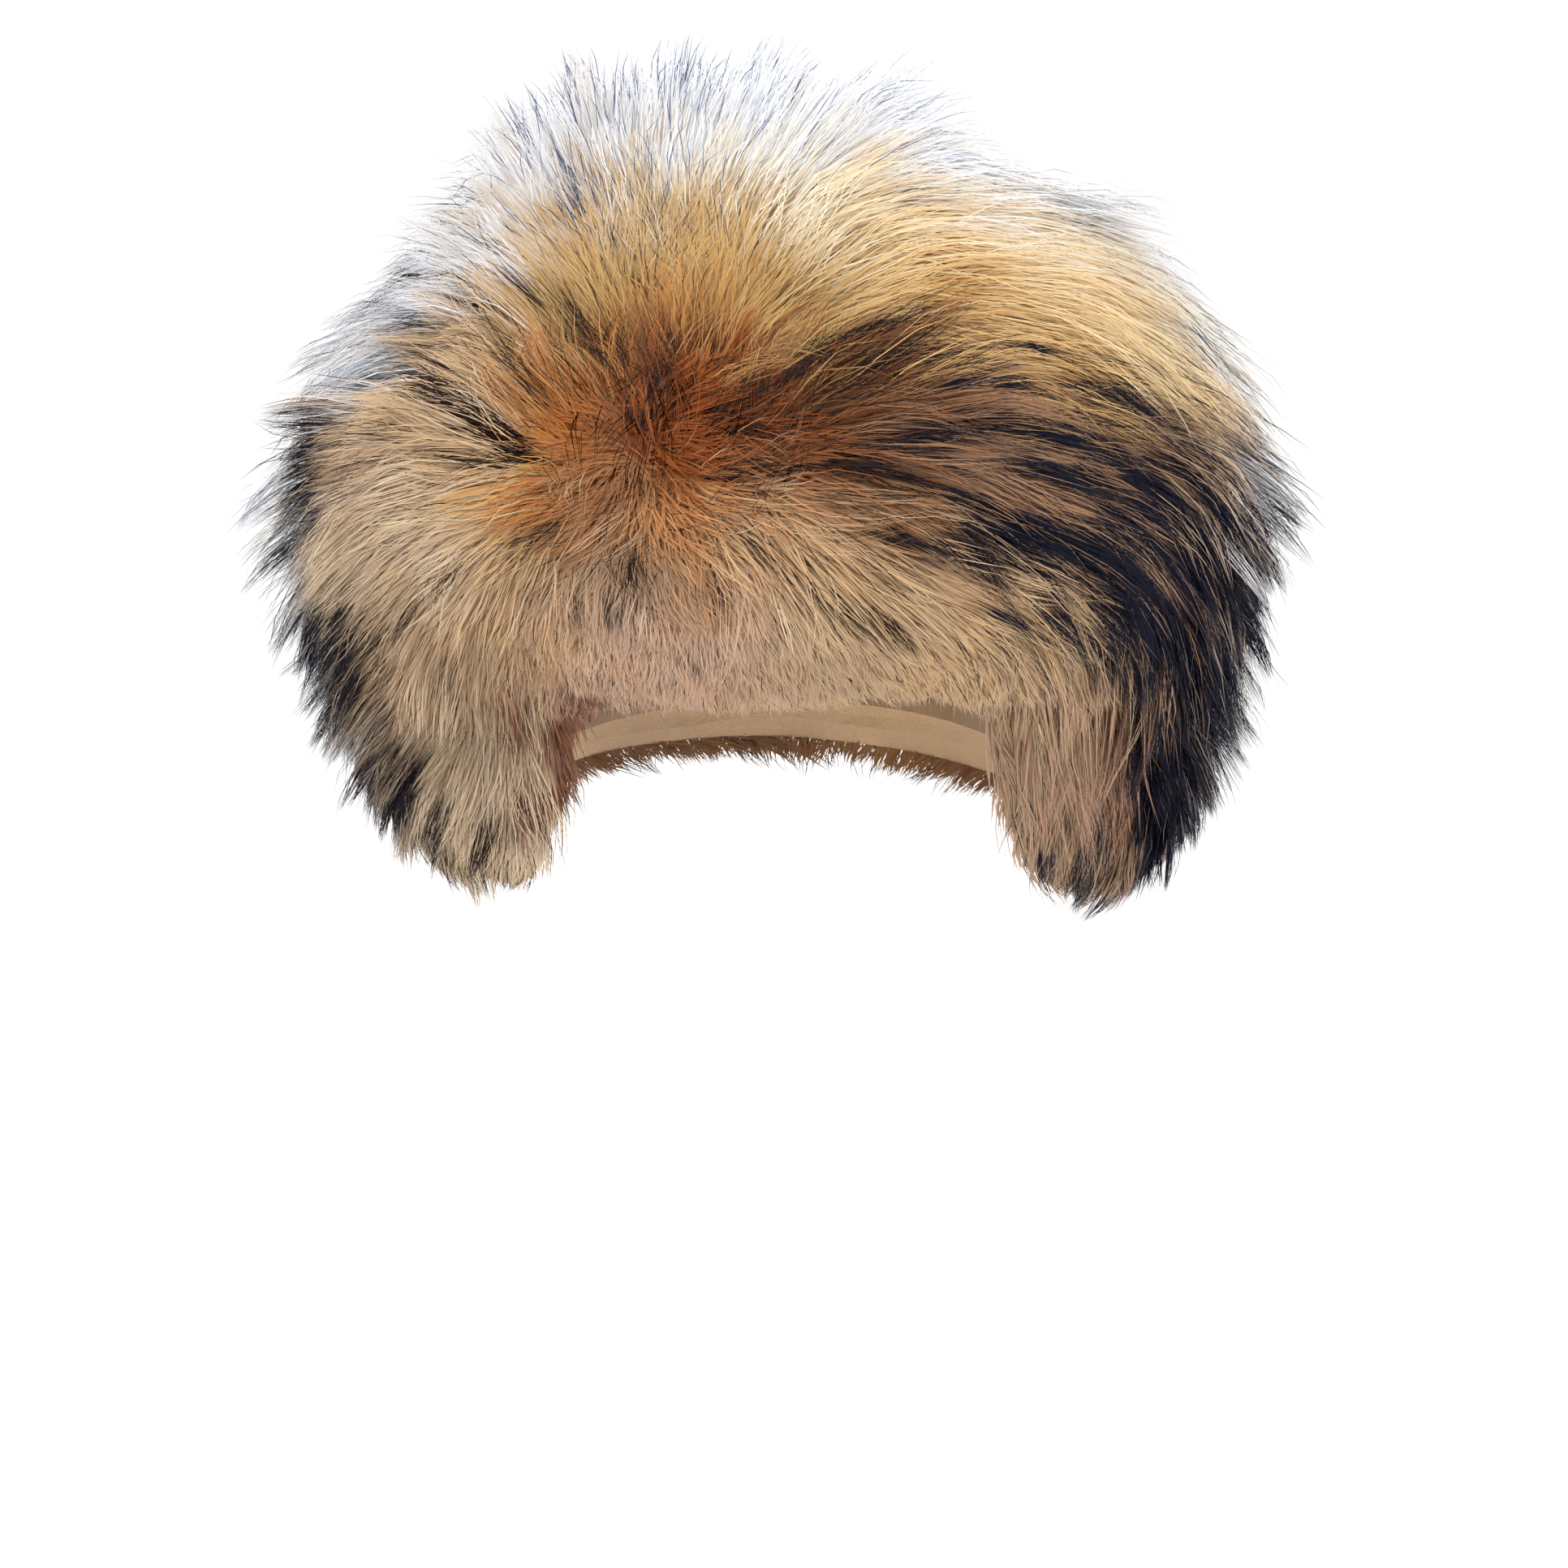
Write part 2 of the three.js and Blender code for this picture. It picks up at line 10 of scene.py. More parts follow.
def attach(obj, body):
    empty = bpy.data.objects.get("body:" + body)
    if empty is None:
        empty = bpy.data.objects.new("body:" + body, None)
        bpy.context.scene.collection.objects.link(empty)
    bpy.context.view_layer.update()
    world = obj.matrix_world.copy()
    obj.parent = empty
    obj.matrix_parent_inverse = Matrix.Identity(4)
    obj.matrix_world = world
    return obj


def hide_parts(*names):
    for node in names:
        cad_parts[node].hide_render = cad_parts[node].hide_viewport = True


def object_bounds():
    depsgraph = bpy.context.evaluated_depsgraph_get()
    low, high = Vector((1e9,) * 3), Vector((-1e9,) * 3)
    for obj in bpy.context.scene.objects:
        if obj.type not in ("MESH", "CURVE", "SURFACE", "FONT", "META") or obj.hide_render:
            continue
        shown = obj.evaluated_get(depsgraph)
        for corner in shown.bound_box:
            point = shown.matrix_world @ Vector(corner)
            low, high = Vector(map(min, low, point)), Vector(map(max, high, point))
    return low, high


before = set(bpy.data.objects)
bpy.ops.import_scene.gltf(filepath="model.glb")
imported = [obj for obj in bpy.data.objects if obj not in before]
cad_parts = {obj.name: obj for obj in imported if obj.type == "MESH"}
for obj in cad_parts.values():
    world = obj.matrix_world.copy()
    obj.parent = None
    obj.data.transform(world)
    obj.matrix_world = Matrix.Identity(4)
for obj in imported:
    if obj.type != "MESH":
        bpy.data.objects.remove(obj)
cad_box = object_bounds()

# A long-haired fur ushanka. Every pelt carries a dense pile of underfur, and the pile
# carries long guard hair that lies away from two whorls, hangs with its own weight and
# gathers into locks towards the tips.

MM = 0.001

# The photograph's camera, by which a patch of colour that was charted in its pixels
# finds its place on the hat. The picture's side and the focal length are in pixels, the
# sensor and the lens in mm.
PICTURE = 1932
FOCAL = 4730
SENSOR = 36
LENS = SENSOR * FOCAL / PICTURE
CAMERA = Vector((1.4, -1185, 93)) * MM
CAMERA_TILT = math.radians(-12)
PICTURE_UP = np.array([0, -math.sin(CAMERA_TILT), math.cos(CAMERA_TILT)])

WALLS = ("crown", "front_flap", "ear_flap_left", "ear_flap_right", "nape_flap")
BODY = "root"

# Each pelt's fur: the solid that it stands for, the whorl that its hair comes from, the
# finish, and how many hairs of each layer it has.
ZONES = [
    {"name": "crown", "node": "crown_fur", "whorl": "crown", "slot": "blonde_fur",
     "guard": 20500, "under": 64000, "stray": 8500},
    {"name": "front_flap", "node": "front_flap_fur", "whorl": "brow", "slot": "brown_fur",
     "guard": 16500, "under": 37000, "stray": 8500},
    {"name": "ear_flap_left", "node": "ear_flap_left_fur", "whorl": "brow", "slot": "tan_fur",
     "guard": 4800, "under": 15000, "stray": 2000},
    {"name": "ear_flap_right", "node": "ear_flap_right_fur", "whorl": "brow", "slot": "tan_fur",
     "guard": 4800, "under": 15000, "stray": 2000},
    {"name": "nape_flap", "node": "nape_flap_fur", "whorl": "brow", "slot": "tan_fur",
     "guard": 2600, "under": 9000, "stray": 800},
]


# Colour

def linear(hex_colour):
    """A hex sRGB colour as linear red, green and blue."""
    parts = [int(hex_colour[i:i + 2], 16) / 255 for i in (0, 2, 4)]
    return np.array([p / 12.92 if p <= 0.04045 else ((p + 0.055) / 1.055) ** 2.4 for p in parts])


# The tones that the pelts show, from the palest top to the sooty tips.
TONES = {
    "frost": "EFF1F6", "cream": "F6E6C4", "blonde": "E9CC9A", "honey": "DDAE68",
    "ginger": "C98745", "russet": "B36A34", "umber": "7C4A2A", "tan": "D9B68C",
    "sand": "CDAE8C", "dun": "B79A7E", "taupe": "94806F", "blush": "D2B096",
    "straw": "C6A066", "bark": "A0795C", "fawn": "D39863", "hazel": "B07E58",
    "fallow": "C49A7E", "oat": "DCC3A4", "chestnut": "9C5A2E", "sepia_shade": "865640",
    "sorrel": "8E4A24", "char": "24110B", "ink": "060A20", "slate": "46547A",
}
TONES = {name: linear(tone) for name, tone in TONES.items()}


# Where the hair lies

# The hair parts along two short lines, on the crown and on the brow.
PARTINGS = {"crown": np.array([[-20, -120, -4], [0, -68, 32]]) * MM,
            "brow": np.array([[-52, -137, -38], [-34, -142, -42]]) * MM}
# The hang is a share of the way down that the lie takes, plus what each metre from the
# whorl adds, and more below the rim of the crown. It changes from left to right over the
# middle of the hat.
HANG = {"crown": (0.10, 2.4), "brow_left": (0.12, 1.8), "brow_right": (0.12, 3.4)}
LOW = -90 * MM
LOW_HANG = {"left": 11, "right": 25}
MIDDLE = (-20 * MM, 30 * MM)
# The lie waves over the body, and is a mess near a parting.
WAVE, WAVE_SIZE = 0.35, 30 * MM
MESS, MESS_SIZE, MESS_REACH = 1.4, 12 * MM, 28 * MM
# The lie is read again this far along itself, which gives its turn. No turn is sharper
# than the last value.
STEP = 12 * MM
SHARPEST = 1 / (75 * MM)


def unit(vectors):
    """The vectors, each made one long."""
    return vectors / np.maximum(np.linalg.norm(vectors, axis=-1, keepdims=True), 1e-9)


def smooth(low, high, value):
    """0 below low and 1 above high, with a soft turn at both ends."""
    t = np.clip((value - low) / (high - low), 0, 1)
    return t * t * (3 - 2 * t)


def clouds(points, size):
    """A smooth noise of about that size in metres, from -1 to 1."""
    return np.array([noise.noise(Vector(p) / size) for p in points])


def tree_of(names):
    """Some of the hat's solids as one search tree."""
    corners, faces = [], []
    for name in names:
        mesh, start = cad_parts[name].data, len(corners)
        corners += [v.co.copy() for v in mesh.vertices]
        faces += [[start + i for i in p.vertices] for p in mesh.polygons]
    return BVHTree.FromPolygons(corners, faces)


pelt = tree_of(WALLS)
form = tree_of([zone["node"] for zone in ZONES])
# The form is looked for from this far outside a place to that far below it.
PROBE = 100 * MM
OVER = 20 * MM


def form_above(points, outward):
    """How far the fur's outer form stands above each point, or nan past its free edge."""
    heights = np.full(len(points), np.nan)
    for i, (point, way) in enumerate(zip(points, outward)):
        hit = form.ray_cast(Vector(point + way * PROBE), Vector(-way), PROBE + OVER)
        if hit[0] is not None:
            heights[i] = PROBE - hit[3]
    return heights


def on_pelt(points):
    """The nearest place on a pelt to each point."""
    return np.array([pelt.find_nearest(Vector(p))[0] for p in points])


# The combing: which way the hair runs round a place in the photograph. A row is the place
# in its pixels and the heading in degrees, with 0 to the right and 90 upwards.
COMBING = [
    (605, 90, 110), (675, 75, 100), (735, 70, 95), (805, 75, 90), (890, 100, 75), (965, 100, 65),
    (1085, 120, 30), (600, 200, 125), (575, 250, 145), (510, 290, 165), (465, 325, 170),
    (455, 395, -180), (395, 410, 175), (340, 470, -180), (325, 535, -175), (325, 610, -170),
    (325, 685, -160), (340, 760, -155), (380, 835, -140), (410, 915, -135), (445, 975, -125),
    (495, 1010, -115), (555, 1065, -105), (620, 1080, -95), (705, 1090, -80), (510, 425, 175),
    (570, 390, 160), (605, 495, 145), (690, 470, 125), (570, 540, 175), (500, 580, -175),
    (465, 645, -160), (570, 645, -165), (660, 610, -165), (540, 730, -140), (465, 800, -135),
    (585, 835, -105), (530, 915, -120), (620, 930, -95), (685, 915, -85), (660, 800, -100),
    (765, 485, 85), (730, 425, 110), (675, 380, 125), (640, 320, 130), (715, 250, 105),
    (675, 185, 105), (775, 230, 90), (805, 150, 85), (865, 200, 70), (925, 150, 60),
    (765, 325, 105), (830, 290, 85), (830, 380, 85), (880, 360, 80), (815, 500, 25),
    (865, 455, 35), (925, 470, 30), (1005, 435, 25), (1080, 405, 15), (1080, 470, 15),
    (1180, 410, -5), (925, 535, 10), (1005, 535, 5), (1115, 515, 0), (1230, 525, -5),
    (1345, 480, -15), (1270, 425, -10), (1385, 455, -20), (1460, 500, -30), (1515, 565, -50),
    (1560, 625, -55), (925, 580, 0), (1040, 580, -5), (1115, 610, -15), (1195, 630, -20),
    (1270, 645, -25), (1345, 685, -35), (1420, 740, -50), (1475, 815, -65), (1490, 900, -85),
    (1475, 990, -100), (1420, 1065, -100), (850, 630, -35), (925, 670, -30), (1005, 710, -30),
    (1085, 755, -25), (1195, 770, -35), (1270, 760, -35), (1330, 820, -45), (1375, 875, -60),
    (1405, 965, -80), (1370, 1045, -90), (1305, 1025, -90), (1270, 935, -85), (1260, 1090, -95),
    (1240, 860, -75), (765, 655, -95), (735, 725, -105), (795, 725, -85), (845, 710, -75),
    (895, 730, -60), (705, 760, -100), (685, 685, -125), (615, 685, -145), (735, 805, -90),
    (850, 800, -85), (965, 785, -75), (1040, 800, -65), (1115, 805, -60), (940, 320, 35),
    (1005, 265, 30), (1040, 215, 20), (1080, 260, 10), (1155, 230, 5), (1100, 320, 10),
    (1195, 310, -20), (1255, 250, -10), (1305, 305, -20), (1385, 340, -25), (1460, 395, -35),
    (1345, 230, -10), (1420, 280, -25), (1500, 350, -35), (1535, 425, -50), (1575, 535, -55),
    (1605, 630, -55), (1605, 725, -60), (1575, 820, -65), (1535, 915, -75), (1490, 1010, -80),
    (1005, 360, 15), (1155, 365, -5), (1270, 375, -15),
]
COMBING_REACH = 50
# The combing ends where all its rows together weigh less than this.
COMBING_ENDS = 1e-30
# It holds where the fur faces the camera, takes most of the place of the lie from the
# whorl, the more so where its rows agree, and adds its own way.
COMBING_SHOWS = (-0.25, 0.1)
COMBING_HOLD, COMBING_TAKES, COMBING_ADDS = 1.5, 0.85, 1.2


def in_picture(points):
    """Each point's place in the photograph, in its pixels."""
    away = points - np.array(CAMERA)
    ahead = np.array([0, math.cos(CAMERA_TILT), math.sin(CAMERA_TILT)])
    depth = away @ ahead
    return np.stack([PICTURE / 2 + FOCAL * away[:, 0] / depth,
                     PICTURE / 2 - FOCAL * (away @ PICTURE_UP) / depth], 1)


def to_camera(points, outward):
    """How squarely the fur faces the photograph's camera, from 1 to -1."""
    return (unit(np.array(CAMERA) - points) * outward).sum(1)


def combed(points):
    """The way that the combing gives at each point, shorter where its rows disagree."""
    spots = in_picture(points)
    flow, weights = np.zeros((len(points), 2)), np.full(len(points), COMBING_ENDS)
    for x, y, heading in COMBING:
        away = np.linalg.norm(spots - (x, y), axis=1) / COMBING_REACH
        weight = np.exp(-away ** 2)
        turned = math.radians(heading)
        flow += weight[:, None] * np.array([math.cos(turned), math.sin(turned)])
        weights += weight
    flow /= weights[:, None]
    return flow[:, :1] * np.array([1.0, 0, 0]) + flow[:, 1:] * PICTURE_UP


def lie_at(points, outward, whorl):
    """The unit vector along which the hair lies at each point."""
    start, end = PARTINGS[whorl]
    share = np.clip((points - start) @ (end - start) / ((end - start) @ (end - start)), 0, 1)
    away = points - start - share[:, None] * (end - start)
    distance = np.linalg.norm(away, axis=1)
    right = smooth(*MIDDLE, points[:, 0])
    if whorl == "crown":
        at_whorl, grow = HANG["crown"]
    else:
        at_whorl = HANG["brow_left"][0] * (1 - right) + HANG["brow_right"][0] * right
        grow = HANG["brow_left"][1] * (1 - right) + HANG["brow_right"][1] * right
    low = LOW_HANG["left"] * (1 - right) + LOW_HANG["right"] * right
    hang = at_whorl + grow * distance + low * np.maximum(LOW - points[:, 2], 0)
    way = away / distance[:, None] - hang[:, None] * np.array([0, 0, 1.0])
    way = unit(way - outward * (way * outward).sum(1)[:, None])
    seen = smooth(*COMBING_SHOWS, to_camera(points, outward))[:, None]
    chart = combed(points)
    chart -= outward * (chart * outward).sum(1)[:, None]
    hold = np.minimum(1, COMBING_HOLD * np.linalg.norm(chart, axis=1, keepdims=True))
    way = way * (1 - COMBING_TAKES * seen * hold) + COMBING_ADDS * seen * chart
    bend = WAVE * clouds(points, WAVE_SIZE)
    bend += MESS * clouds(points, MESS_SIZE) * np.exp(-distance / MESS_REACH)
    return unit(way + bend[:, None] * np.cross(outward, way))


# How the hair grows round a place in the photograph. A row is the place and its radius in
# pixels, then the share of its length that a hair stands proud of the form, its reach in mm,
# how far its lock closes at the tips, and how thick the guard hair is.
HABITS = [
    (700, 90, 120, 0.85, 20, 0.75, 0.8), (900, 100, 100, 0.65, 24, 0.75, 0.8),
    (600, 200, 60, 0.50, 22, 0.75, 0.7), (510, 290, 60, 0.15, 28, 0.75, 0.6),
    (810, 320, 80, 0.25, 18, 0.35, 0.2), (480, 400, 70, 0.15, 34, 0.80, 0.6),
    (340, 560, 80, 0.28, 30, 0.95, 1.0), (360, 760, 80, 0.24, 32, 0.95, 1.0),
    (430, 930, 80, 0.18, 32, 0.90, 0.9), (560, 1060, 70, 0.10, 28, 0.85, 0.8),
    (500, 650, 100, 0.12, 36, 0.50, 0.28), (765, 560, 50, 0.30, 20, 0.60, 0.6),
    (640, 480, 90, 0.18, 28, 0.85, 0.7), (820, 440, 80, 0.18, 26, 0.85, 0.75),
    (690, 570, 60, 0.25, 24, 0.75, 0.8), (860, 545, 50, 0.20, 28, 0.85, 0.9),
    (780, 635, 50, 0.20, 26, 0.75, 0.7),
    (1000, 500, 100, 0.06, 46, 0.80, 0.8), (1250, 600, 130, 0.05, 50, 0.80, 0.9),
    (1450, 800, 110, 0.05, 50, 0.80, 1.1), (1150, 300, 120, 0.03, 52, 0.45, 0.4),
    (1400, 330, 110, 0.00, 52, 0.40, 0.3), (1300, 180, 90, 0.12, 40, 0.20, 0.25),
    (1560, 600, 70, 0.16, 33, 0.90, 0.9), (1600, 800, 90, 0.16, 34, 0.90, 0.9),
    (1520, 980, 70, 0.12, 38, 0.85, 0.9), (1330, 950, 70, 0.05, 36, 0.50, 0.4),
    (1330, 1080, 50, 0.05, 30, 0.85, 0.9), (1240, 900, 40, 0.10, 20, 0.30, 0.2),
    (600, 900, 80, 0.08, 34, 0.50, 0.4), (690, 900, 40, 0.10, 20, 0.30, 0.2),
    (720, 790, 60, 0.06, 28, 0.50, 0.4), (860, 790, 90, 0.04, 28, 0.50, 0.4),
    (1080, 790, 80, 0.06, 26, 0.40, 0.3), (800, 680, 50, 0.10, 30, 0.75, 0.6),
    (1000, 690, 80, 0.05, 44, 0.75, 0.7), (1500, 340, 60, 0.08, 32, 0.50, 0.4),
    (1580, 470, 60, 0.12, 26, 0.85, 0.8),
]
# Far from every row, and off the camera's side, the hair grows like this.
REST, REST_WEIGHT = (0.04, 44, 0.7, 0.6), 1e-3
HABITS_SHOW = (-0.4, -0.1)
# A charted place weighs less by the square of the distance in its radii, this fast.
FALLOFF = 1.2


def habit(points, outward):
    """How the hair grows at each point: stand, reach, gather and guard."""
    spots = in_picture(points)
    total = np.zeros((len(points), 4)) + REST_WEIGHT * np.array(REST)
    weight = np.full(len(points), REST_WEIGHT)
    for x, y, radius, *row in HABITS:
        near = np.linalg.norm(spots - (x, y), axis=1) / radius
        share = np.exp(-FALLOFF * near ** 2)
        total += share[:, None] * np.array(row)
        weight += share
    seen = smooth(*HABITS_SHOW, to_camera(points, outward))[:, None]
    return total / weight[:, None] * seen + np.array(REST) * (1 - seen)


# Pile and coat

# The pile has this share of the fur's depth. Corners closer than the weld are one.
PILE_SHARE = 0.84
WELD = 0.01 * MM
# How often the outward ways, the pile's places and the turns are drawn to their mean. Of
# the pile, only what is deeper than this is drawn.
ROUNDS = {"outward": 12, "pile": 24, "turn": 4}
DEEP = 6 * MM
# A hair is cut to one of these shares of its length where it would pass the free edge by
# more than the lap. Its rise is height over reach, between two limits, and the free rise
# where no share fits.
SHARES = (1.0, 0.85, 0.7, 0.55, 0.4)
LAP = 3 * MM
RISES, FREE_RISE = (-0.05, 0.8), 0.1
# Hair is a mess in the whorl on the brow and in the plush place on the crown, which is
# given in the photograph's pixels.
PLUSH, PLUSH_RADIUS, PLUSH_SHOWS = (840, 320), 90, (-0.2, 0.1)
SWIRL_MESS, PLUSH_MESS = 5, 3
# The coat is full where the pile faces outwards and is deep, and thinner behind.
COAT_FACES, COAT_DEPTHS = (0.1, 0.5), (2 * MM, 6 * MM)
THINNER, BEHIND = 0.3, (-20 * MM, 100 * MM)
# What the pile keeps for the growth of its hair, and needs no longer after that.
GROWTH = ("outward", "lie", "turn", "rise", "reach", "gather", "mess", "coat", "guard")


def shown(name, data):
    """A new object in the scene."""
    made = bpy.data.objects.new(name, data)
    bpy.context.scene.collection.objects.link(made)
    return made


def merged(node):
    """A copy of a fur solid, with its corners merged and each face cut in four."""
    bm = bmesh.new()
    bm.from_mesh(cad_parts[node].data)
    bmesh.ops.remove_doubles(bm, verts=bm.verts, dist=WELD)
    bmesh.ops.subdivide_edges(bm, edges=bm.edges[:], cuts=1, use_grid_fill=True)
    bmesh.ops.triangulate(bm, faces=bm.faces[:])
    bm.verts.ensure_lookup_table()
    bm.verts.index_update()
    return bm


def relaxed(bm, values, rounds, moving=None):
    """The values at the corners, each drawn towards its neighbours' mean."""
    edges = np.array([[v.index for v in e.verts] for e in bm.edges])
    count = np.bincount(edges.ravel(), minlength=len(bm.verts)).astype(float)
    for _ in range(rounds):
        total = np.zeros_like(values)
        np.add.at(total, edges[:, 0], values[edges[:, 1]])
        np.add.at(total, edges[:, 1], values[edges[:, 0]])
        mean = total / (count[:, None] if values.ndim > 1 else count)
        values = mean if moving is None else np.where(moving[:, None], 0.5 * (values + mean), values)
    return values


def keep(mesh, name, values, domain="POINT"):
    """Keeps the values as an attribute of the mesh."""
    values = np.asarray(values, np.float32)
    kind = "FLOAT_VECTOR" if values.ndim > 1 else "FLOAT"
    made = mesh.attributes.new(name, kind, domain)
    made.data.foreach_set("vector" if values.ndim > 1 else "value", values.ravel())


def read(mesh, name, width=1):
    """An attribute of the mesh as an array."""
    data = mesh.attributes[name].data
    values = np.empty(len(data) * width, np.float32)
    data.foreach_get("vector" if width > 1 else "value", values)
    return values.reshape(-1, width) if width > 1 else values


def fitted(roots, lie, turn, reach):
    """The rise and reach with which a hair's tip lies on the fur's outer form. A hair that
    would run past the free edge is shorter."""
    rise, best = np.full(len(roots), FREE_RISE), reach * SHARES[-1]
    open_ended = np.ones(len(roots), bool)
    for share in SHARES:
        run = reach[:, None] * share
        ends = roots + lie * run + turn * run ** 2 / 2
        above = form_above(ends, unit(ends - on_pelt(ends)))
        fits = open_ended & (np.nan_to_num(above, nan=-1) > -LAP)
        rise[fits] = np.clip(above[fits] / run[fits, 0], *RISES)
        best[fits] = run[fits, 0]
        open_ended &= ~fits
    return rise, best


def lie_and_turn(bm, points, outward, whorl):
    """How the hair lies at each corner, and how that turns with each metre along it."""
    lie = lie_at(points, outward, whorl)
    ahead = points + lie * STEP
    turn = (lie_at(ahead, unit(ahead - on_pelt(ahead)), whorl) - lie) / STEP
    sharp = np.linalg.norm(turn, axis=1, keepdims=True)
    turn *= np.minimum(1, SHARPEST / np.maximum(sharp, 1e-6))
    return lie, relaxed(bm, turn, ROUNDS["turn"])


def mess_at(points, outward):
    """How unruly the hair is at each point, from 1 upwards."""
    swirl = np.linalg.norm(points - PARTINGS["brow"].mean(0), axis=1) / MESS_REACH
    plush = np.linalg.norm(in_picture(points) - PLUSH, axis=1) / PLUSH_RADIUS
    plush = np.exp(-plush ** 2) * smooth(*PLUSH_SHOWS, to_camera(points, outward))
    return 1 + SWIRL_MESS * np.exp(-swirl ** 2) + PLUSH_MESS * plush


def pile_of(name, node, whorl):
    """The pile of underfur on a pelt. Its corners keep how the hair there lies and grows,
    and its faces how thick the coat is."""
    bm = merged(node)
    points = np.array([v.co for v in bm.verts])
    near = on_pelt(points)
    depth = np.linalg.norm(points - near, axis=1)
    outward = unit(relaxed(bm, unit(points - near), ROUNDS["outward"]))
    shrunk = near + (points - near) * PILE_SHARE
    shrunk = relaxed(bm, shrunk, ROUNDS["pile"], moving=depth > DEEP)
    for vert, place in zip(bm.verts, shrunk):
        vert.co = place
    bm.normal_update()
    mesh = bpy.data.meshes.new(name)
    bm.to_mesh(mesh)

    lie, turn = lie_and_turn(bm, points, outward, whorl)
    bm.free()
    stand, reach, gather, guard = habit(points, outward).T
    rise, reach = fitted(shrunk, lie, turn, reach * MM)
    at_corners = {"outward": outward, "lie": lie, "turn": turn, "rise": rise + stand,
                  "reach": reach, "gather": gather, "mess": mess_at(points, outward)}
    for label, values in at_corners.items():
        keep(mesh, label, values)

    faces = np.array([p.vertices for p in mesh.polygons])
    normals = np.array([p.normal for p in mesh.polygons])
    facing = (normals * unit(outward[faces].mean(1))).sum(1)
    front = 1 - THINNER * smooth(*BEHIND, points[faces].mean(1)[:, 1])
    coat = smooth(*COAT_FACES, facing) * smooth(*COAT_DEPTHS, depth[faces].mean(1)) * front
    keep(mesh, "coat", coat, "FACE")
    keep(mesh, "guard", coat * guard[faces].mean(1), "FACE")
    return shown(name, mesh)


# One small function adds a node to any tree.

def add(tree, kind, inputs=None, **settings):
    """Adds a node with its settings. Its inputs go by name or number, and each is a value,
    a socket, or a node that gives its first output."""
    made = tree.nodes.new(kind)
    for name, value in settings.items():
        setattr(made, name, value)
    for key, value in (inputs or {}).items():
        if isinstance(value, bpy.types.Node):
            value = value.outputs[0]
        if isinstance(value, bpy.types.NodeSocket):
            tree.links.new(value, made.inputs[key])
        else:
            made.inputs[key].default_value = value
    return made


def group_with(name, inputs, outputs):
    """A geometry tree with named sockets, and its two end nodes."""
    tree = bpy.data.node_groups.new(name, "GeometryNodeTree")
    for label, kind in inputs:
        tree.interface.new_socket(label, in_out="INPUT", socket_type="NodeSocket" + kind)
    for label, kind in outputs:
        tree.interface.new_socket(label, in_out="OUTPUT", socket_type="NodeSocket" + kind)
    return tree, tree.nodes.new("NodeGroupInput"), tree.nodes.new("NodeGroupOutput")


MATH, VECTOR_MATH = "ShaderNodeMath", "ShaderNodeVectorMath"
STORE = "GeometryNodeStoreNamedAttribute"
# What a hair's line takes: where it starts, which way it lies and turns, which way the
# fur faces there, how far it stands off, and how far it reaches.
LINE = {"root": "FLOAT_VECTOR", "lie": "FLOAT_VECTOR", "turn": "FLOAT_VECTOR",
        "outward": "FLOAT_VECTOR", "rise": "FLOAT", "reach": "FLOAT"}
SOCKETS = {"FLOAT_VECTOR": "Vector", "FLOAT": "Float"}
# A hair stands off more steeply near its root, this much.
ARCH = 0.45


def hair_line_tree():
    """A hair's line: where it is after a share of its length. It runs along its lie, turns
    with the lie over the body, and stands off the pile by its rise."""
    sockets = [(name, SOCKETS[kind]) for name, kind in LINE.items()] + [("along", "Float")]
    tree, given, out = group_with("hair_line", sockets, [("place", "Vector")])
    g = given.outputs
    run = add(tree, MATH, {0: g["reach"], 1: g["along"]}, operation="MULTIPLY")
    run_squared = add(tree, MATH, {0: run, 1: run}, operation="MULTIPLY")
    half = add(tree, MATH, {0: run_squared, 1: 0.5}, operation="MULTIPLY")
    straight = add(tree, VECTOR_MATH, {0: g["lie"], "Scale": run}, operation="SCALE")
    bent = add(tree, VECTOR_MATH, {0: g["turn"], "Scale": half}, operation="SCALE")
    left = add(tree, MATH, {0: 1.0, 1: g["along"]}, operation="SUBTRACT")
    arch = add(tree, MATH, {0: left, 1: ARCH, 2: 1.0}, operation="MULTIPLY_ADD")
    lift = add(tree, MATH, {0: arch, 1: run}, operation="MULTIPLY")
    height = add(tree, MATH, {0: lift, 1: g["rise"]}, operation="MULTIPLY")
    up = add(tree, VECTOR_MATH, {0: g["outward"], "Scale": height}, operation="SCALE")
    place = g["root"]
    for part in (straight, bent, up):
        place = add(tree, VECTOR_MATH, {0: place, 1: part}, operation="ADD")
    tree.links.new(place.outputs[0], out.inputs["place"])
    return tree


hair_line = hair_line_tree()

SIZES = ("Hairs per square metre", "Locks per square metre", "Length share", "Rise share",
         "Half width", "Gathering", "Stray", "Proud", "Roll", "Frizz")
# How far locks differ in lie and in rise, and how far locks and hairs differ in length.
LOCK_STRAY, LOCK_PROUD = 0.35, 0.10
LENGTH_MEAN, LENGTH_SPREAD = 0.98, 0.18
# Few hairs sway far, but where the hair is a mess, all do by this share of the mess.
ALL_SWAY = 0.6
# A lock closes by this power of the way along it.
CLOSING = 1.6
# Hairs this far apart or more wander on their own.
WANDER_SIZE = 1 / 900
LOCK_SEED = 7.0


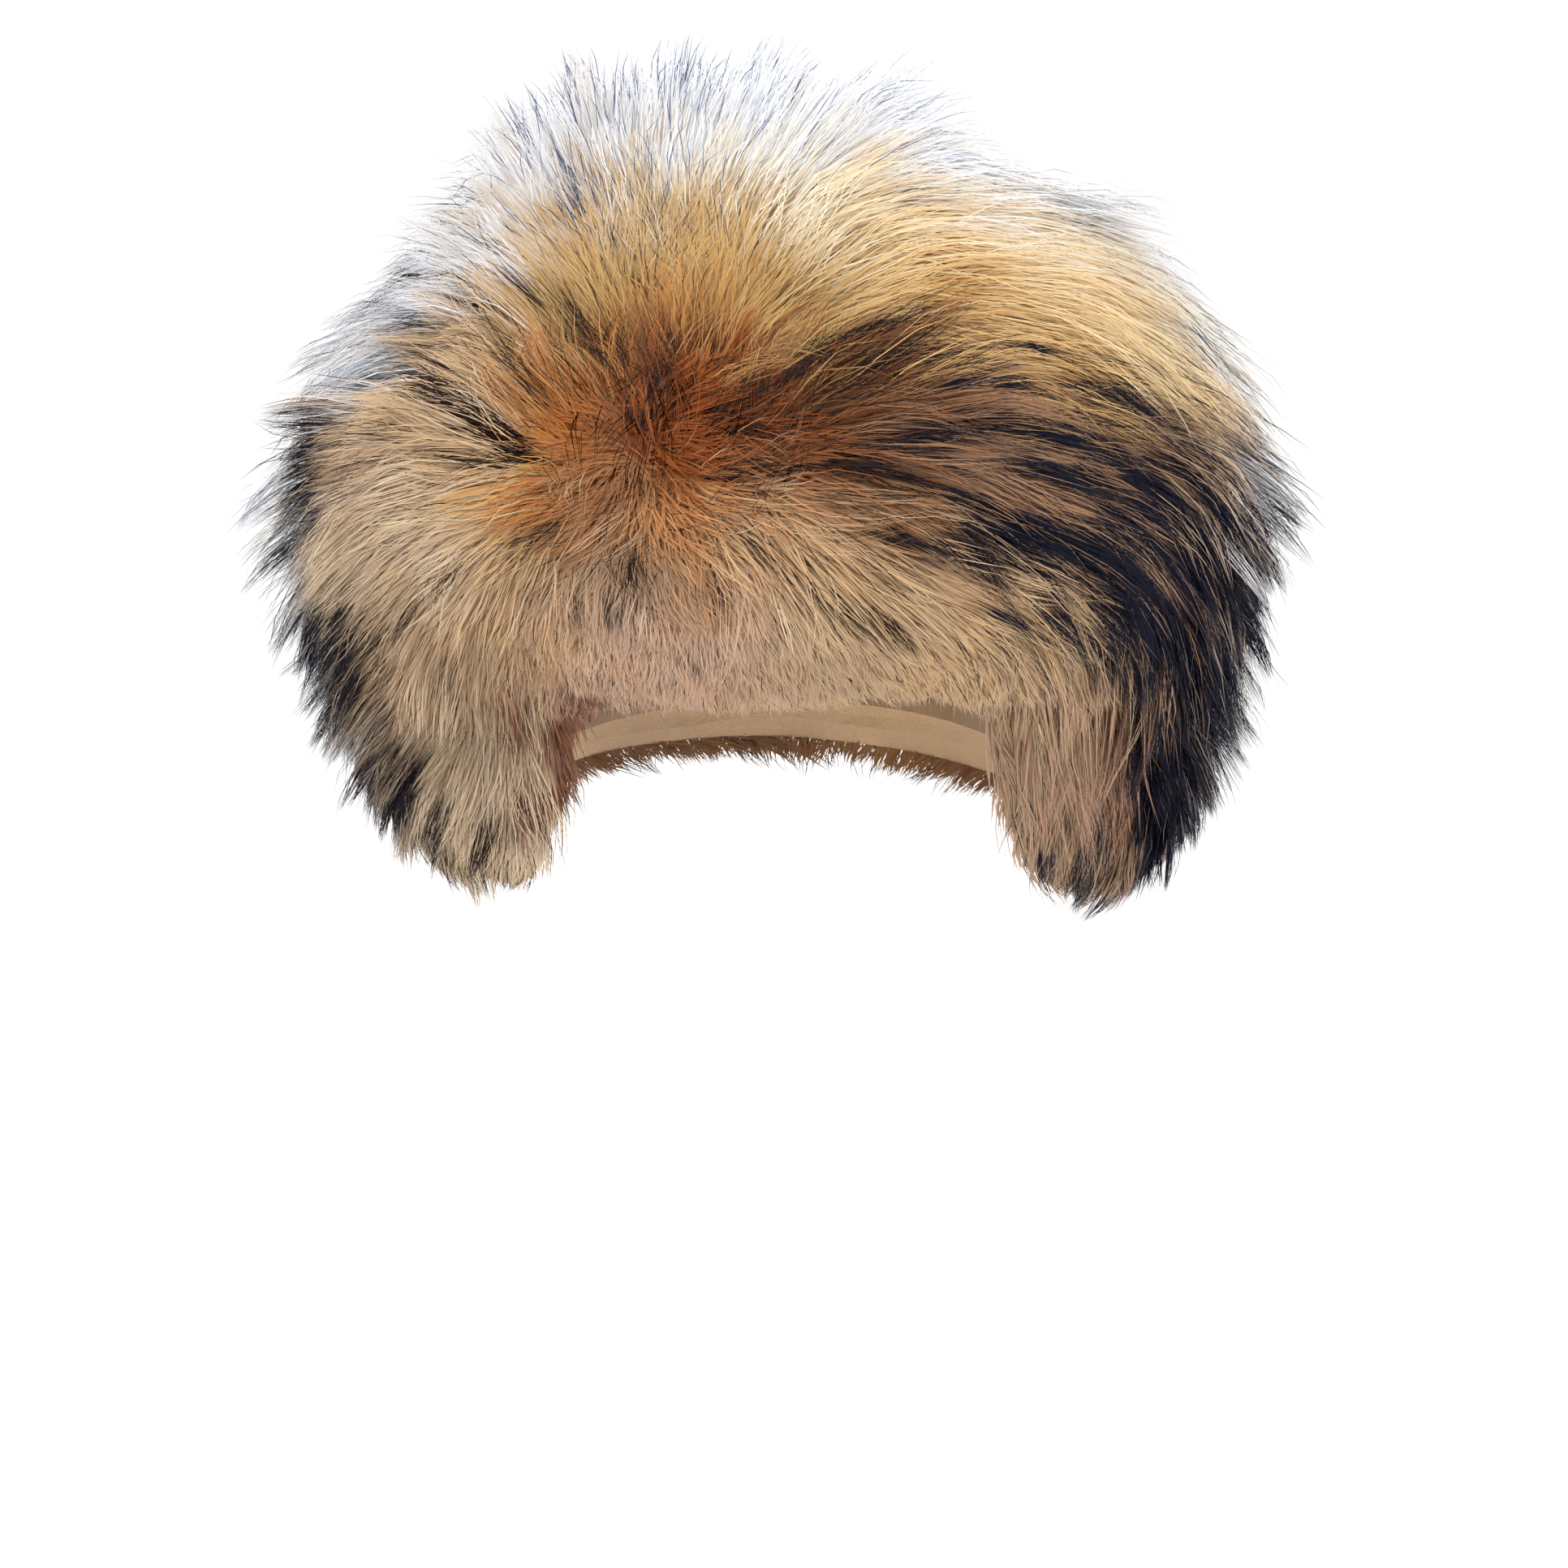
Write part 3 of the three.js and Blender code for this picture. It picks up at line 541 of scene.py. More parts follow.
def coat_tree():
    """Hairs over a pile: seeded roots, a lock for each, a blade on every root, then its line."""
    inputs = [("Geometry", "Geometry"), *((size, "Float") for size in SIZES),
              ("Thickness", "String"), ("Seed", "Int"), ("Blade", "Object"),
              ("Finish", "Material")]
    tree, given, out = group_with("fur_coat", inputs, [("Geometry", "Geometry")])
    g = given.outputs
    kinds = dict(LINE, chance="FLOAT_VECTOR", mess="FLOAT", gather="FLOAT", along="FLOAT",
                 side="FLOAT", **{"lock_" + name: kind for name, kind in LINE.items()})
    at = {name: add(tree, "GeometryNodeInputNamedAttribute", {"Name": name},
                    data_type=kind).outputs["Attribute"] for name, kind in kinds.items()}
    thickness = add(tree, "GeometryNodeInputNamedAttribute", {"Name": g["Thickness"]},
                    data_type="FLOAT").outputs["Attribute"]
    here = add(tree, "GeometryNodeInputPosition")

    def roots(per_area, seed):
        thick = add(tree, MATH, {0: thickness, 1: per_area}, operation="MULTIPLY")
        points = add(tree, "GeometryNodeDistributePointsOnFaces",
                     {"Mesh": g["Geometry"], "Density": thick, "Seed": seed})
        return add(tree, STORE, {"Geometry": points, "Name": "root", "Value": here},
                   data_type="FLOAT_VECTOR", domain="POINT")

    # Every hair differs a little in lie, rise and length, and a lock differs as a whole.
    def varied(points, seed, stray, proud):
        chance = add(tree, "FunctionNodeRandomValue",
                     {"Seed": seed, 0: (-1, -1, -1), 1: (1, 1, 1)}, data_type="FLOAT_VECTOR")
        parts = add(tree, "ShaderNodeSeparateXYZ", {0: chance}).outputs
        aside = add(tree, VECTOR_MATH, {0: at["lie"], 1: at["outward"]},
                    operation="CROSS_PRODUCT")
        cube = add(tree, MATH, {0: parts["X"], 1: 3.0}, operation="POWER")
        wild = add(tree, MATH, {0: at["mess"], 1: ALL_SWAY, 2: -ALL_SWAY},
                   operation="MULTIPLY_ADD")
        wild = add(tree, MATH, {0: parts["X"], 1: wild}, operation="MULTIPLY")
        sway = add(tree, MATH, {0: cube, 1: at["mess"], 2: wild}, operation="MULTIPLY_ADD")
        sway = add(tree, MATH, {0: sway, 1: stray}, operation="MULTIPLY")
        push = add(tree, VECTOR_MATH, {0: aside, "Scale": sway}, operation="SCALE")
        lie = add(tree, VECTOR_MATH, {0: at["lie"], 1: push}, operation="ADD")
        lie = add(tree, VECTOR_MATH, {0: lie}, operation="NORMALIZE")
        rise = add(tree, MATH, {0: at["rise"], 1: g["Rise share"]}, operation="MULTIPLY")
        rise = add(tree, MATH, {0: parts["Y"], 1: proud, 2: rise}, operation="MULTIPLY_ADD")
        reach = add(tree, MATH, {0: parts["Z"], 1: LENGTH_SPREAD, 2: LENGTH_MEAN},
                    operation="MULTIPLY_ADD")
        reach = add(tree, MATH, {0: reach, 1: at["reach"]}, operation="MULTIPLY")
        reach = add(tree, MATH, {0: reach, 1: g["Length share"]}, operation="MULTIPLY")
        for name, value in (("chance", chance), ("lie", lie), ("rise", rise), ("reach", reach)):
            points = add(tree, STORE, {"Geometry": points, "Name": name, "Value": value},
                         data_type=kinds[name], domain="POINT")
        return points

    hairs = roots(g["Hairs per square metre"], g["Seed"])
    lock_seed = add(tree, MATH, {0: g["Seed"], 1: LOCK_SEED}, operation="ADD")
    locks = roots(g["Locks per square metre"], lock_seed)
    locks = varied(locks, lock_seed, LOCK_STRAY, LOCK_PROUD)
    near = add(tree, "GeometryNodeSampleNearest", {"Geometry": locks, "Sample Position": here})
    hairs = add(tree, STORE, {"Geometry": hairs, "Name": "lock", "Value": near},
                data_type="INT", domain="POINT")
    for name, kind in LINE.items():
        found = add(tree, "GeometryNodeSampleIndex",
                    {"Geometry": locks, "Value": at[name], "Index": near},
                    data_type=kind, domain="POINT")
        hairs = add(tree, STORE, {"Geometry": hairs, "Name": "lock_" + name, "Value": found},
                    data_type=kind, domain="POINT")
    hairs = varied(hairs, g["Seed"], g["Stray"], g["Proud"])

    blade = add(tree, "GeometryNodeObjectInfo", {"Object": g["Blade"]})
    blades = add(tree, "GeometryNodeInstanceOnPoints",
                 {"Points": hairs, "Instance": blade.outputs["Geometry"]})
    real = add(tree, "GeometryNodeRealizeInstances", {0: blades})

    # The hair's own line is drawn to its lock's towards the tip.
    own, lock = (add(tree, "GeometryNodeGroup",
                     dict({name: at[before + name] for name in LINE}, along=at["along"]),
                     node_tree=hair_line) for before in ("", "lock_"))
    closing = add(tree, MATH, {0: at["along"], 1: CLOSING}, operation="POWER")
    drawn = add(tree, MATH, {0: at["gather"], 1: g["Gathering"]}, operation="MULTIPLY")
    share = add(tree, MATH, {0: closing, 1: drawn}, operation="MULTIPLY", use_clamp=True)
    place = add(tree, "ShaderNodeMix", {0: share, 4: own, 5: lock}, data_type="VECTOR")

    # Frizz: every hair wanders on its own, more towards the tip.
    spread = add(tree, VECTOR_MATH, {0: at["root"], "Scale": 1 / WANDER_SIZE}, operation="SCALE")
    drift = add(tree, "ShaderNodeCombineXYZ", {axis: at["along"] for axis in "XYZ"})
    spot = add(tree, VECTOR_MATH, {0: spread, 1: drift}, operation="ADD")
    cloud = add(tree, "ShaderNodeTexNoise", {"Vector": spot, "Scale": 1.0, "Detail": 1.0})
    wander = add(tree, VECTOR_MATH, {0: cloud.outputs["Color"], 1: (0.5, 0.5, 0.5)},
                 operation="SUBTRACT")
    amount = add(tree, MATH, {0: at["along"], 1: g["Frizz"]}, operation="MULTIPLY")
    wander = add(tree, VECTOR_MATH, {0: wander, "Scale": amount}, operation="SCALE")

    # The blade's flat side is rolled about the hair.
    chance = add(tree, "ShaderNodeSeparateXYZ", {0: at["chance"]})
    roll = add(tree, MATH, {0: chance.outputs["Z"], 1: g["Roll"]}, operation="MULTIPLY")
    across = add(tree, VECTOR_MATH, {0: at["lie"], 1: at["outward"]}, operation="CROSS_PRODUCT")
    across = add(tree, VECTOR_MATH, {0: across}, operation="NORMALIZE")
    rolled = add(tree, "ShaderNodeVectorRotate",
                 {"Vector": across, "Axis": at["lie"], "Angle": roll},
                 rotation_type="AXIS_ANGLE")
    wide = add(tree, MATH, {0: at["side"], 1: g["Half width"]}, operation="MULTIPLY")
    edge = add(tree, VECTOR_MATH, {0: rolled, "Scale": wide}, operation="SCALE")
    spot = place.outputs[1]
    for part in (wander, edge):
        spot = add(tree, VECTOR_MATH, {0: spot, 1: part}, operation="ADD")
    shaped = add(tree, "GeometryNodeSetPosition", {"Geometry": real, "Position": spot})
    finished = add(tree, "GeometryNodeSetMaterial",
                   {"Geometry": shaped, "Material": g["Finish"]})
    tree.links.new(finished.outputs[0], out.inputs["Geometry"])
    return tree


fur_coat = coat_tree()

# How wide a blade is at each station, as shares of its full width.
BLADE_WIDTHS = (0.6, 1.0, 0.95, 0.8)


def blade_of(name, stations):
    """A hair's blade: two corners at each station and one at the tip."""
    along = [row / stations for row in range(stations) for _ in "ab"] + [1.0]
    side = [s * BLADE_WIDTHS[row] for row in range(stations) for s in (-1, 1)] + [0.0]
    corners = [(s, a, 0) for s, a in zip(side, along)]
    faces = [(2 * i, 2 * i + 1, 2 * i + 3, 2 * i + 2) for i in range(stations - 1)]
    faces.append((2 * stations - 2, 2 * stations - 1, 2 * stations))
    mesh = bpy.data.meshes.new(name)
    mesh.from_pydata(corners, [], faces, shade_flat=False)
    keep(mesh, "along", along)
    keep(mesh, "side", side)
    return bpy.data.objects.new(name, mesh)


# Colour charts

# A patch says which tone the hair has round a place in the photograph, and what share of
# the hairs there are sooty towards the tip: the place and its radius in pixels, the tone
# and the share.
# The frost patches run along the hat's outline as the camera sees it, where they are partly the pale
# tips and partly painted backlight.
PATCHES = [
    (780, 130, 110, "frost", 0.17), (960, 140, 90, "frost", 0.08), (640, 230, 60, "frost", 0.09),
    (1140, 170, 60, "frost", 0.03), (1250, 210, 65, "frost", 0.01), (1360, 248, 60, "frost", 0.01),
    (1460, 308, 60, "frost", 0.01), (1535, 390, 45, "frost", 0.04), (728, 302, 102, "straw", 0.13),
    (830, 310, 80, "straw", 0.05), (980, 240, 60, "cream", 0.03), (840, 220, 50, "cream", 0.20),
    (930, 350, 60, "straw", 0.03), (1090, 290, 70, "blonde", 0.01), (1230, 310, 80, "blonde", 0.01),
    (1380, 370, 80, "blonde", 0.01), (480, 350, 65, "frost", 0.02), (580, 340, 50, "frost", 0.12),
    (580, 400, 45, "tan", 0.15), (700, 390, 55, "straw", 0.15), (680, 440, 45, "ginger", 0.30),
    (840, 400, 50, "ginger", 0.15), (780, 460, 50, "sorrel", 0.14), (1000, 385, 50, "straw", 0.03),
    (1150, 385, 55, "honey", 0.01), (1290, 410, 55, "honey", 0.01), (1440, 440, 55, "blonde", 0.12),
    (1510, 500, 50, "tan", 0.06), (1570, 560, 50, "frost", 0.28), (1600, 700, 60, "frost", 0.62),
    (1590, 840, 55, "taupe", 0.50), (400, 430, 50, "frost", 0.05), (430, 550, 60, "sand", 0.08),
    (335, 560, 45, "frost", 0.35), (560, 520, 50, "tan", 0.16), (620, 470, 40, "tan", 0.25),
    (680, 550, 48, "russet", 0.12), (840, 500, 60, "sorrel", 0.15), (930, 500, 60, "sorrel", 0.14),
    (1050, 480, 60, "umber", 0.22), (1180, 500, 60, "bark", 0.20), (1360, 530, 60, "bark", 0.18),
    (1480, 600, 50, "dun", 0.30), (1520, 720, 50, "taupe", 0.45), (780, 570, 40, "hazel", 0.15),
    (900, 570, 50, "chestnut", 0.18), (1020, 570, 60, "chestnut", 0.18), (1150, 600, 60, "bark", 0.16),
    (1260, 600, 50, "bark", 0.16), (560, 640, 60, "oat", 0.08), (640, 620, 45, "honey", 0.12),
    (720, 640, 45, "hazel", 0.14), (430, 670, 60, "oat", 0.05), (335, 720, 40, "frost", 0.40),
    (850, 660, 60, "fawn", 0.07), (960, 650, 60, "tan", 0.12), (1080, 650, 55, "tan", 0.12),
    (1100, 730, 60, "tan", 0.12), (1210, 690, 50, "tan", 0.20), (780, 720, 45, "dun", 0.25),
    (660, 730, 60, "tan", 0.10), (540, 800, 70, "sand", 0.06), (385, 830, 48, "taupe", 0.58),
    (720, 800, 60, "blush", 0.06), (870, 790, 70, "blush", 0.05), (1050, 800, 70, "sand", 0.05),
    (1220, 790, 60, "tan", 0.10), (1330, 790, 50, "sand", 0.20), (560, 940, 70, "oat", 0.06),
    # The patch at (690, 900) is painted shade with a warm painted reflection, beside the inner side of
    # the ear flap.
    (690, 900, 42, "sepia_shade", 0.10), (440, 960, 45, "dun", 0.30), (620, 1060, 60, "oat", 0.22),
    (1250, 890, 40, "dun", 0.06), (1340, 930, 60, "fallow", 0.04), (1290, 1060, 60, "dun", 0.10),
    (1400, 700, 60, "bark", 0.40), (1470, 960, 60, "umber", 0.97),
]
# A patch weighs at least this, however far away.
PATCH_WEIGHT = 1e-9

# A streak is a run of locks along a line in the photograph. These are sooty: half the
# streak's width in pixels, the sooty share, and the line.
STREAKS = [
    (16, 1.0, (1207, 656), (1276, 656), (1345, 683), (1413, 725), (1469, 787), (1510, 821)),
    (36, 1.0, (1413, 752), (1469, 807), (1496, 862), (1482, 931), (1441, 986)),
    (30, 1.0, (1480, 930), (1470, 990), (1425, 1070)),
    (16, 0.9, (1524, 766), (1551, 807), (1538, 876), (1510, 945)),
    (13, 1.0, (1372, 635), (1427, 669), (1482, 711), (1524, 752)),
    (10, 1.0, (1413, 614), (1469, 656), (1510, 697), (1544, 738)),
    (5, 0.8, (1441, 566), (1482, 607), (1524, 656)),
    (8, 1.0, (1276, 528), (1331, 545), (1386, 573), (1441, 614)),
    (9, 1.0, (1255, 569), (1310, 580), (1345, 600)), (7, 1.0, (1179, 614), (1241, 631), (1296, 645)),
    (7, 1.0, (1083, 656), (1152, 669), (1207, 683)), (8, 0.9, (1207, 683), (1276, 697), (1317, 711)),
    (6, 0.9, (1289, 752), (1331, 787), (1386, 828)), (5, 0.8, (1214, 745), (1255, 759), (1303, 776)),
    (6, 0.9, (1351, 766), (1386, 807), (1413, 855)), (7, 0.8, (1390, 850), (1405, 900), (1400, 960)),
    (7, 0.9, (1331, 470), (1386, 476), (1427, 504)), (6, 0.9, (1386, 490), (1441, 518)),
    (4, 0.8, (1248, 421), (1289, 432)), (5, 0.9, (1158, 476), (1207, 466), (1262, 476)),
    (6, 0.9, (1085, 546), (1181, 528), (1241, 514)), (7, 0.9, (1010, 722), (1045, 742), (1083, 764)),
    (4, 0.7, (1069, 766), (1124, 780)), (6, 0.9, (918, 658), (976, 691), (1019, 717)),
    (4, 0.7, (876, 700), (896, 732)), (6, 1.0, (1000, 484), (1073, 454), (1152, 428)),
    (5, 1.0, (1014, 428), (1069, 408), (1110, 397)),
    (5, 1.0, (868, 517), (946, 478), (992, 452), (1018, 426)),
    (4, 0.9, (1012, 491), (1064, 471), (1100, 452)), (5, 0.9, (868, 537), (933, 530), (992, 517)),
    (7, 1.0, (887, 583), (946, 586), (1012, 573), (1060, 572)),
    (7, 1.0, (1025, 569), (1083, 582), (1130, 600)), (6, 1.0, (776, 524), (829, 507)),
    (5, 1.0, (829, 458), (881, 449)), (3, 0.8, (768, 478), (762, 430)),
    (3, 0.8, (800, 484), (832, 452)), (11, 0.9, (530, 474), (590, 516), (655, 568)),
    (5, 0.8, (560, 556), (600, 572)), (5, 0.9, (616, 428), (648, 448)),
    (5, 1.0, (711, 386), (737, 426)), (3, 0.8, (639, 354), (665, 373)),
    (3, 0.8, (581, 380), (620, 380)), (2, 0.6, (483, 334), (568, 338)),
    (2, 0.6, (450, 367), (515, 393)), (2, 0.6, (496, 400), (568, 452)),
    (3, 0.8, (705, 217), (718, 282)), (9, 0.9, (755, 755), (775, 725), (785, 690)),
    (4, 0.8, (688, 636), (656, 656), (632, 660)), (4, 0.8, (560, 700), (520, 732), (488, 772)),
    (3, 0.7, (712, 740), (688, 780)), (10, 0.8, (384, 508), (368, 588), (376, 644)),
    (6, 0.8, (360, 668), (328, 716)), (10, 0.9, (416, 764), (352, 796)),
    (11, 0.9, (440, 788), (368, 828)), (13, 0.9, (424, 828), (384, 876)),
    (9, 0.9, (488, 924), (440, 972)), (11, 0.9, (512, 940), (480, 1004)),
    (7, 0.9, (544, 996), (528, 1044)), (7, 0.9, (600, 1012), (588, 1060)),
    (6, 0.8, (632, 1036), (632, 1084)), (6, 0.8, (706, 1096), (706, 1065)),
    (5, 0.8, (1277, 1103), (1292, 1058)), (7, 0.9, (1322, 1118), (1330, 1050)),
    (9, 0.9, (1353, 1111), (1360, 1020)),
]

# Locks of cream hair, charted the same way.
CREAM_STREAKS = [
    (7, 0.6, (1000, 640), (1080, 690), (1170, 740)), (8, 0.5, (640, 560), (560, 600), (480, 640)),
    (8, 0.7, (1010, 290), (1180, 270), (1350, 330)), (7, 0.7, (1080, 240), (1250, 330), (1450, 420)),
    (8, 0.6, (1150, 360), (1300, 390), (1480, 450)), (6, 0.8, (1060, 300), (1150, 370), (1180, 460)),
    (8, 0.9, (640, 625), (700, 625), (740, 600)), (7, 0.5, (790, 600), (785, 650), (775, 700)),
    (8, 0.8, (870, 620), (930, 680), (1010, 720)), (8, 0.6, (1050, 700), (1130, 740), (1200, 790)),
    (12, 0.6, (480, 700), (560, 660)), (6, 0.6, (930, 400), (930, 340), (970, 300)),
]
# A streak is a little wider than charted, and fades between these shares of its width.
STREAK_SPREAD, STREAK_FADES = 2, (0.8, 1.6)

# Off the camera's side: tones by height over the back, in mm, and the soot there. The bands
# swing up and down, and the soot has clouds.
BACK = [
    (60, "frost", 0.10), (20, "blonde", 0.08), (-20, "honey", 0.15), (-60, "hazel", 0.35),
    (-110, "tan", 0.25), (-170, "dun", 0.35),
]
BANDS_SWING, BANDS_SIZE = 28 * MM, 60 * MM
BACK_CLOUDS, BACK_CLOUD_SIZE = 0.35, 35 * MM
# The charts hold from here on, by how squarely the fur faces the camera.
CHARTS_SHOW = (-0.35, 0.05)


def distance_to(line, spots):
    """How far each spot is from a line of points, in pixels."""
    best = np.full(len(spots), np.inf)
    line = np.array(line, float)
    for a, b in zip(line[:-1], line[1:]):
        t = np.clip(((spots - a) @ (b - a)) / ((b - a) @ (b - a)), 0, 1)
        best = np.minimum(best, np.linalg.norm(spots - a - t[:, None] * (b - a), axis=1))
    return best


def behind(points, column):
    """A column of the back's chart at each point."""
    heights = np.array([height for height, _, _ in BACK])[::-1] * MM
    wavy = points[:, 2] + BANDS_SWING * clouds(points, BANDS_SIZE)
    return np.interp(wavy, heights, np.array(column)[::-1])


def in_patches(points, values):
    """The patches' values at each point, shared out by how near each patch is."""
    spots = in_picture(points)
    weights = np.zeros((len(points), len(PATCHES)))
    for number, (x, y, radius, _, _) in enumerate(PATCHES):
        near = np.linalg.norm(spots - (x, y), axis=1) / radius
        weights[:, number] = np.exp(-FALLOFF * near ** 2) + PATCH_WEIGHT
    return weights @ np.array(values) / weights.sum(1)[:, None]


def along_streaks(points, streaks):
    """The highest share that any streak gives at each point."""
    spots, most = in_picture(points), np.zeros(len(points))
    for width, share, *line in streaks:
        near = distance_to(line, spots) / (width + STREAK_SPREAD)
        most = np.maximum(most, share * (1 - smooth(*STREAK_FADES, near)))
    return most


def tone_at(points, facing):
    """The ground tone and the cream share of the hair at each point."""
    front = smooth(*CHARTS_SHOW, facing)[:, None]
    tones = [TONES[tone] for _, tone, _ in BACK]
    tone = np.stack([behind(points, [row[c] for row in tones]) for c in range(3)], 1)
    shown_there = in_patches(points, [TONES[patch[3]] for patch in PATCHES])
    cream = along_streaks(points, CREAM_STREAKS)
    return tone * (1 - front) + shown_there * front, cream * front[:, 0]


def soot_at(points, facing, thinnest=0):
    """The sooty share of the hair at each point, of streaks no thinner than this."""
    front = smooth(*CHARTS_SHOW, facing)
    soot = behind(points, [soot for _, _, soot in BACK])
    soot = soot + BACK_CLOUDS * clouds(points, BACK_CLOUD_SIZE)
    shown_there = in_patches(points, [[patch[4]] for patch in PATCHES])[:, 0]
    streaks = [streak for streak in STREAKS if streak[0] >= thinnest]
    shown_there = np.maximum(shown_there, along_streaks(points, streaks))
    return np.clip(soot, 0, 1) * (1 - front) + shown_there * front


# Finishes

# Strands of the pile and the nap of the suede, and how deep they look.
STRAND, STRAND_DEPTH = 0.625 * MM, 0.6 * MM
NAP, NAP_DEPTH = 0.5 * MM, 0.15 * MM
MOTTLE = 15.4 * MM
SUEDE_LIGHT, SUEDE_DARK = "A98A68", "8C6E50"


def material(name, values):
    """A material, its tree and its shader, which takes the values."""
    made = bpy.data.materials.new(name)
    made.use_nodes = True
    skin = made.node_tree.nodes["Principled BSDF"]
    for key, value in values.items():
        skin.inputs[key].default_value = value
    return made, made.node_tree, skin


def hair_finish(name, roughness, gloss, painted_root_light):
    """Keratin hair, IOR 1.55, half matt: palest at the root, where painted light lifts the shade
    between the hairs, its own tone along the shaft, and a sooty length towards the tip."""
    made, tree, skin = material(name, {"Roughness": roughness, "IOR": 1.55,
                                       "Specular IOR Level": gloss})
    tone, soot, along, dark = (
        add(tree, "ShaderNodeAttribute", attribute_name=label).outputs[kind] for label, kind in
        (("tone", "Vector"), ("soot", "Vector"), ("along", "Fac"), ("dark", "Fac")))
    # Painted light: the root is brightened to lift the shade between the hairs.
    root = add(tree, "ShaderNodeMapRange", {"Value": along, "From Min": 0.0, "From Max": 0.5,
                                            "To Min": painted_root_light, "To Max": 1.0})
    shaft = add(tree, VECTOR_MATH, {0: tone, "Scale": root}, operation="SCALE")
    tip = add(tree, "ShaderNodeMapRange", {"Value": dark, "From Min": 0.15, "From Max": 0.8},
              interpolation_type="SMOOTHSTEP")
    colour = add(tree, "ShaderNodeMix", {0: tip, 6: shaft, 7: soot}, data_type="RGBA")
    tree.links.new(colour.outputs[2], skin.inputs["Base Color"])
    return made


def pile_finish():
    """Dense underfur, seen only between the hairs: matt, with strands about 0.6 mm apart, and
    brightened as painted light against the shade between the hairs."""
    made, tree, skin = material("dense_underfur_pile", {"Roughness": 0.9,
                                                        "Specular IOR Level": 0.1})
    tone = add(tree, "ShaderNodeAttribute", attribute_name="tone").outputs["Vector"]
    place = add(tree, "ShaderNodeTexCoord").outputs["Object"]
    strands = add(tree, "ShaderNodeTexNoise", {"Vector": place, "Scale": 1 / STRAND,
                                               "Detail": 2.0})
    # The strands vary the tone, and the range sits mostly above one: painted light that lifts the
    # shade between the hairs.
    shade = add(tree, "ShaderNodeMapRange", {"Value": strands, "From Min": 0.3,
                                             "From Max": 0.7, "To Min": 0.98, "To Max": 1.14})
    colour = add(tree, VECTOR_MATH, {0: tone, "Scale": shade}, operation="SCALE")
    tree.links.new(colour.outputs[0], skin.inputs["Base Color"])
    bump = add(tree, "ShaderNodeBump", {"Height": strands, "Distance": STRAND_DEPTH,
                                        "Strength": 0.6})
    tree.links.new(bump.outputs[0], skin.inputs["Normal"])
    return made


def suede_finish():
    """The flesh side of a tanned pelt, IOR 1.5: brushed suede, very rough, with a fine nap
    about 0.5 mm across and soft mottling about 15 mm across."""
    made, tree, skin = material("tanned_pelt_suede", {"Roughness": 0.95, "Sheen Weight": 0.3})
    place = add(tree, "ShaderNodeTexCoord").outputs["Object"]
    mottle = add(tree, "ShaderNodeTexNoise", {"Vector": place, "Scale": 1 / MOTTLE,
                                              "Detail": 3.0})
    nap = add(tree, "ShaderNodeTexNoise", {"Vector": place, "Scale": 1 / NAP, "Detail": 2.0})
    blend = add(tree, "ShaderNodeMix", {0: mottle, 6: (*linear(SUEDE_LIGHT), 1),
                                        7: (*linear(SUEDE_DARK), 1)}, data_type="RGBA")
    shade = add(tree, "ShaderNodeMapRange", {"Value": nap, "To Min": 0.75, "To Max": 1.15})
    colour = add(tree, VECTOR_MATH, {0: blend.outputs[2], "Scale": shade}, operation="SCALE")
    tree.links.new(colour.outputs[0], skin.inputs["Base Color"])
    bump = add(tree, "ShaderNodeBump", {"Height": nap, "Distance": NAP_DEPTH, "Strength": 0.5})
    tree.links.new(bump.outputs[0], skin.inputs["Normal"])
    return made


# The last value brightens each hair's root, painted light against the shade between the hairs.
guard_finish = hair_finish("guard_hair", 0.45, 0.12, 1.08)
under_finish = hair_finish("underfur", 0.8, 0.05, 1.12)
pile_skin = pile_finish()
suede = suede_finish()


# Hair pieces

# Guard hair is fine and gathers into locks, underfur is wide and soft, and stray hair is
# thin and goes its own way.
STATIONS = {"guard": 4, "under": 2, "stray": 4}
BLADES = {layer: blade_of(layer + "_blade", count) for layer, count in STATIONS.items()}
# How each layer grows: its share of the charted length and rise, half a hair's width, how
# far its locks gather it, how far its hairs stray, stand proud and roll, and their frizz.
COATS = {
    "guard": {"Length share": 1.0, "Rise share": 1.1, "Half width": 0.17 * MM, "Gathering": 1.0,
              "Stray": 0.5, "Proud": 0.06, "Roll": 1.2, "Frizz": 5 * MM, "Thickness": "guard",
              "Locks per square metre": 16000, "Finish": guard_finish},
    "under": {"Length share": 0.75, "Rise share": 0.9, "Half width": 0.40 * MM,
              "Gathering": 0.4, "Stray": 0.5, "Proud": 0.03, "Roll": 0.4, "Frizz": 6 * MM,
              "Thickness": "coat", "Locks per square metre": 12000, "Finish": under_finish},
    "stray": {"Length share": 0.95, "Rise share": 1.2, "Half width": 0.15 * MM,
              "Gathering": 0.45, "Stray": 0.65, "Proud": 0.12, "Roll": 1.2, "Frizz": 9 * MM,
              "Thickness": "coat", "Locks per square metre": 9000, "Finish": guard_finish},
}
# How far a lock looks aside for its tone and its soot.
TONE_JITTER = 24 * MM
SOOT_JITTER = 3 * MM
# How far each layer's hairs differ in tone, as single hairs and as locks.
UNLIKE = {"guard": (0.14, 0.10), "under": (0.03, 0.05), "stray": (0.2, 0.1)}
# Hair is shaded by the way that the fur round it faces, on a body about this round, and by
# its own way, this much.
OWN_WAY = {"guard": 0.4, "under": 0.1, "stray": 0.5}
ROUND = 150 * MM
KEPT = {"position", ".edge_verts", ".corner_vert", ".corner_edge", "material_index",
        "custom_normal", "along", "tone", "soot", "dark"}
# The hair may stand this far out of the solids' own box, and bends back over its last part.
MARGIN = np.array([18.5, 19, 17]) * MM
BENDS_OVER = 5 * MM

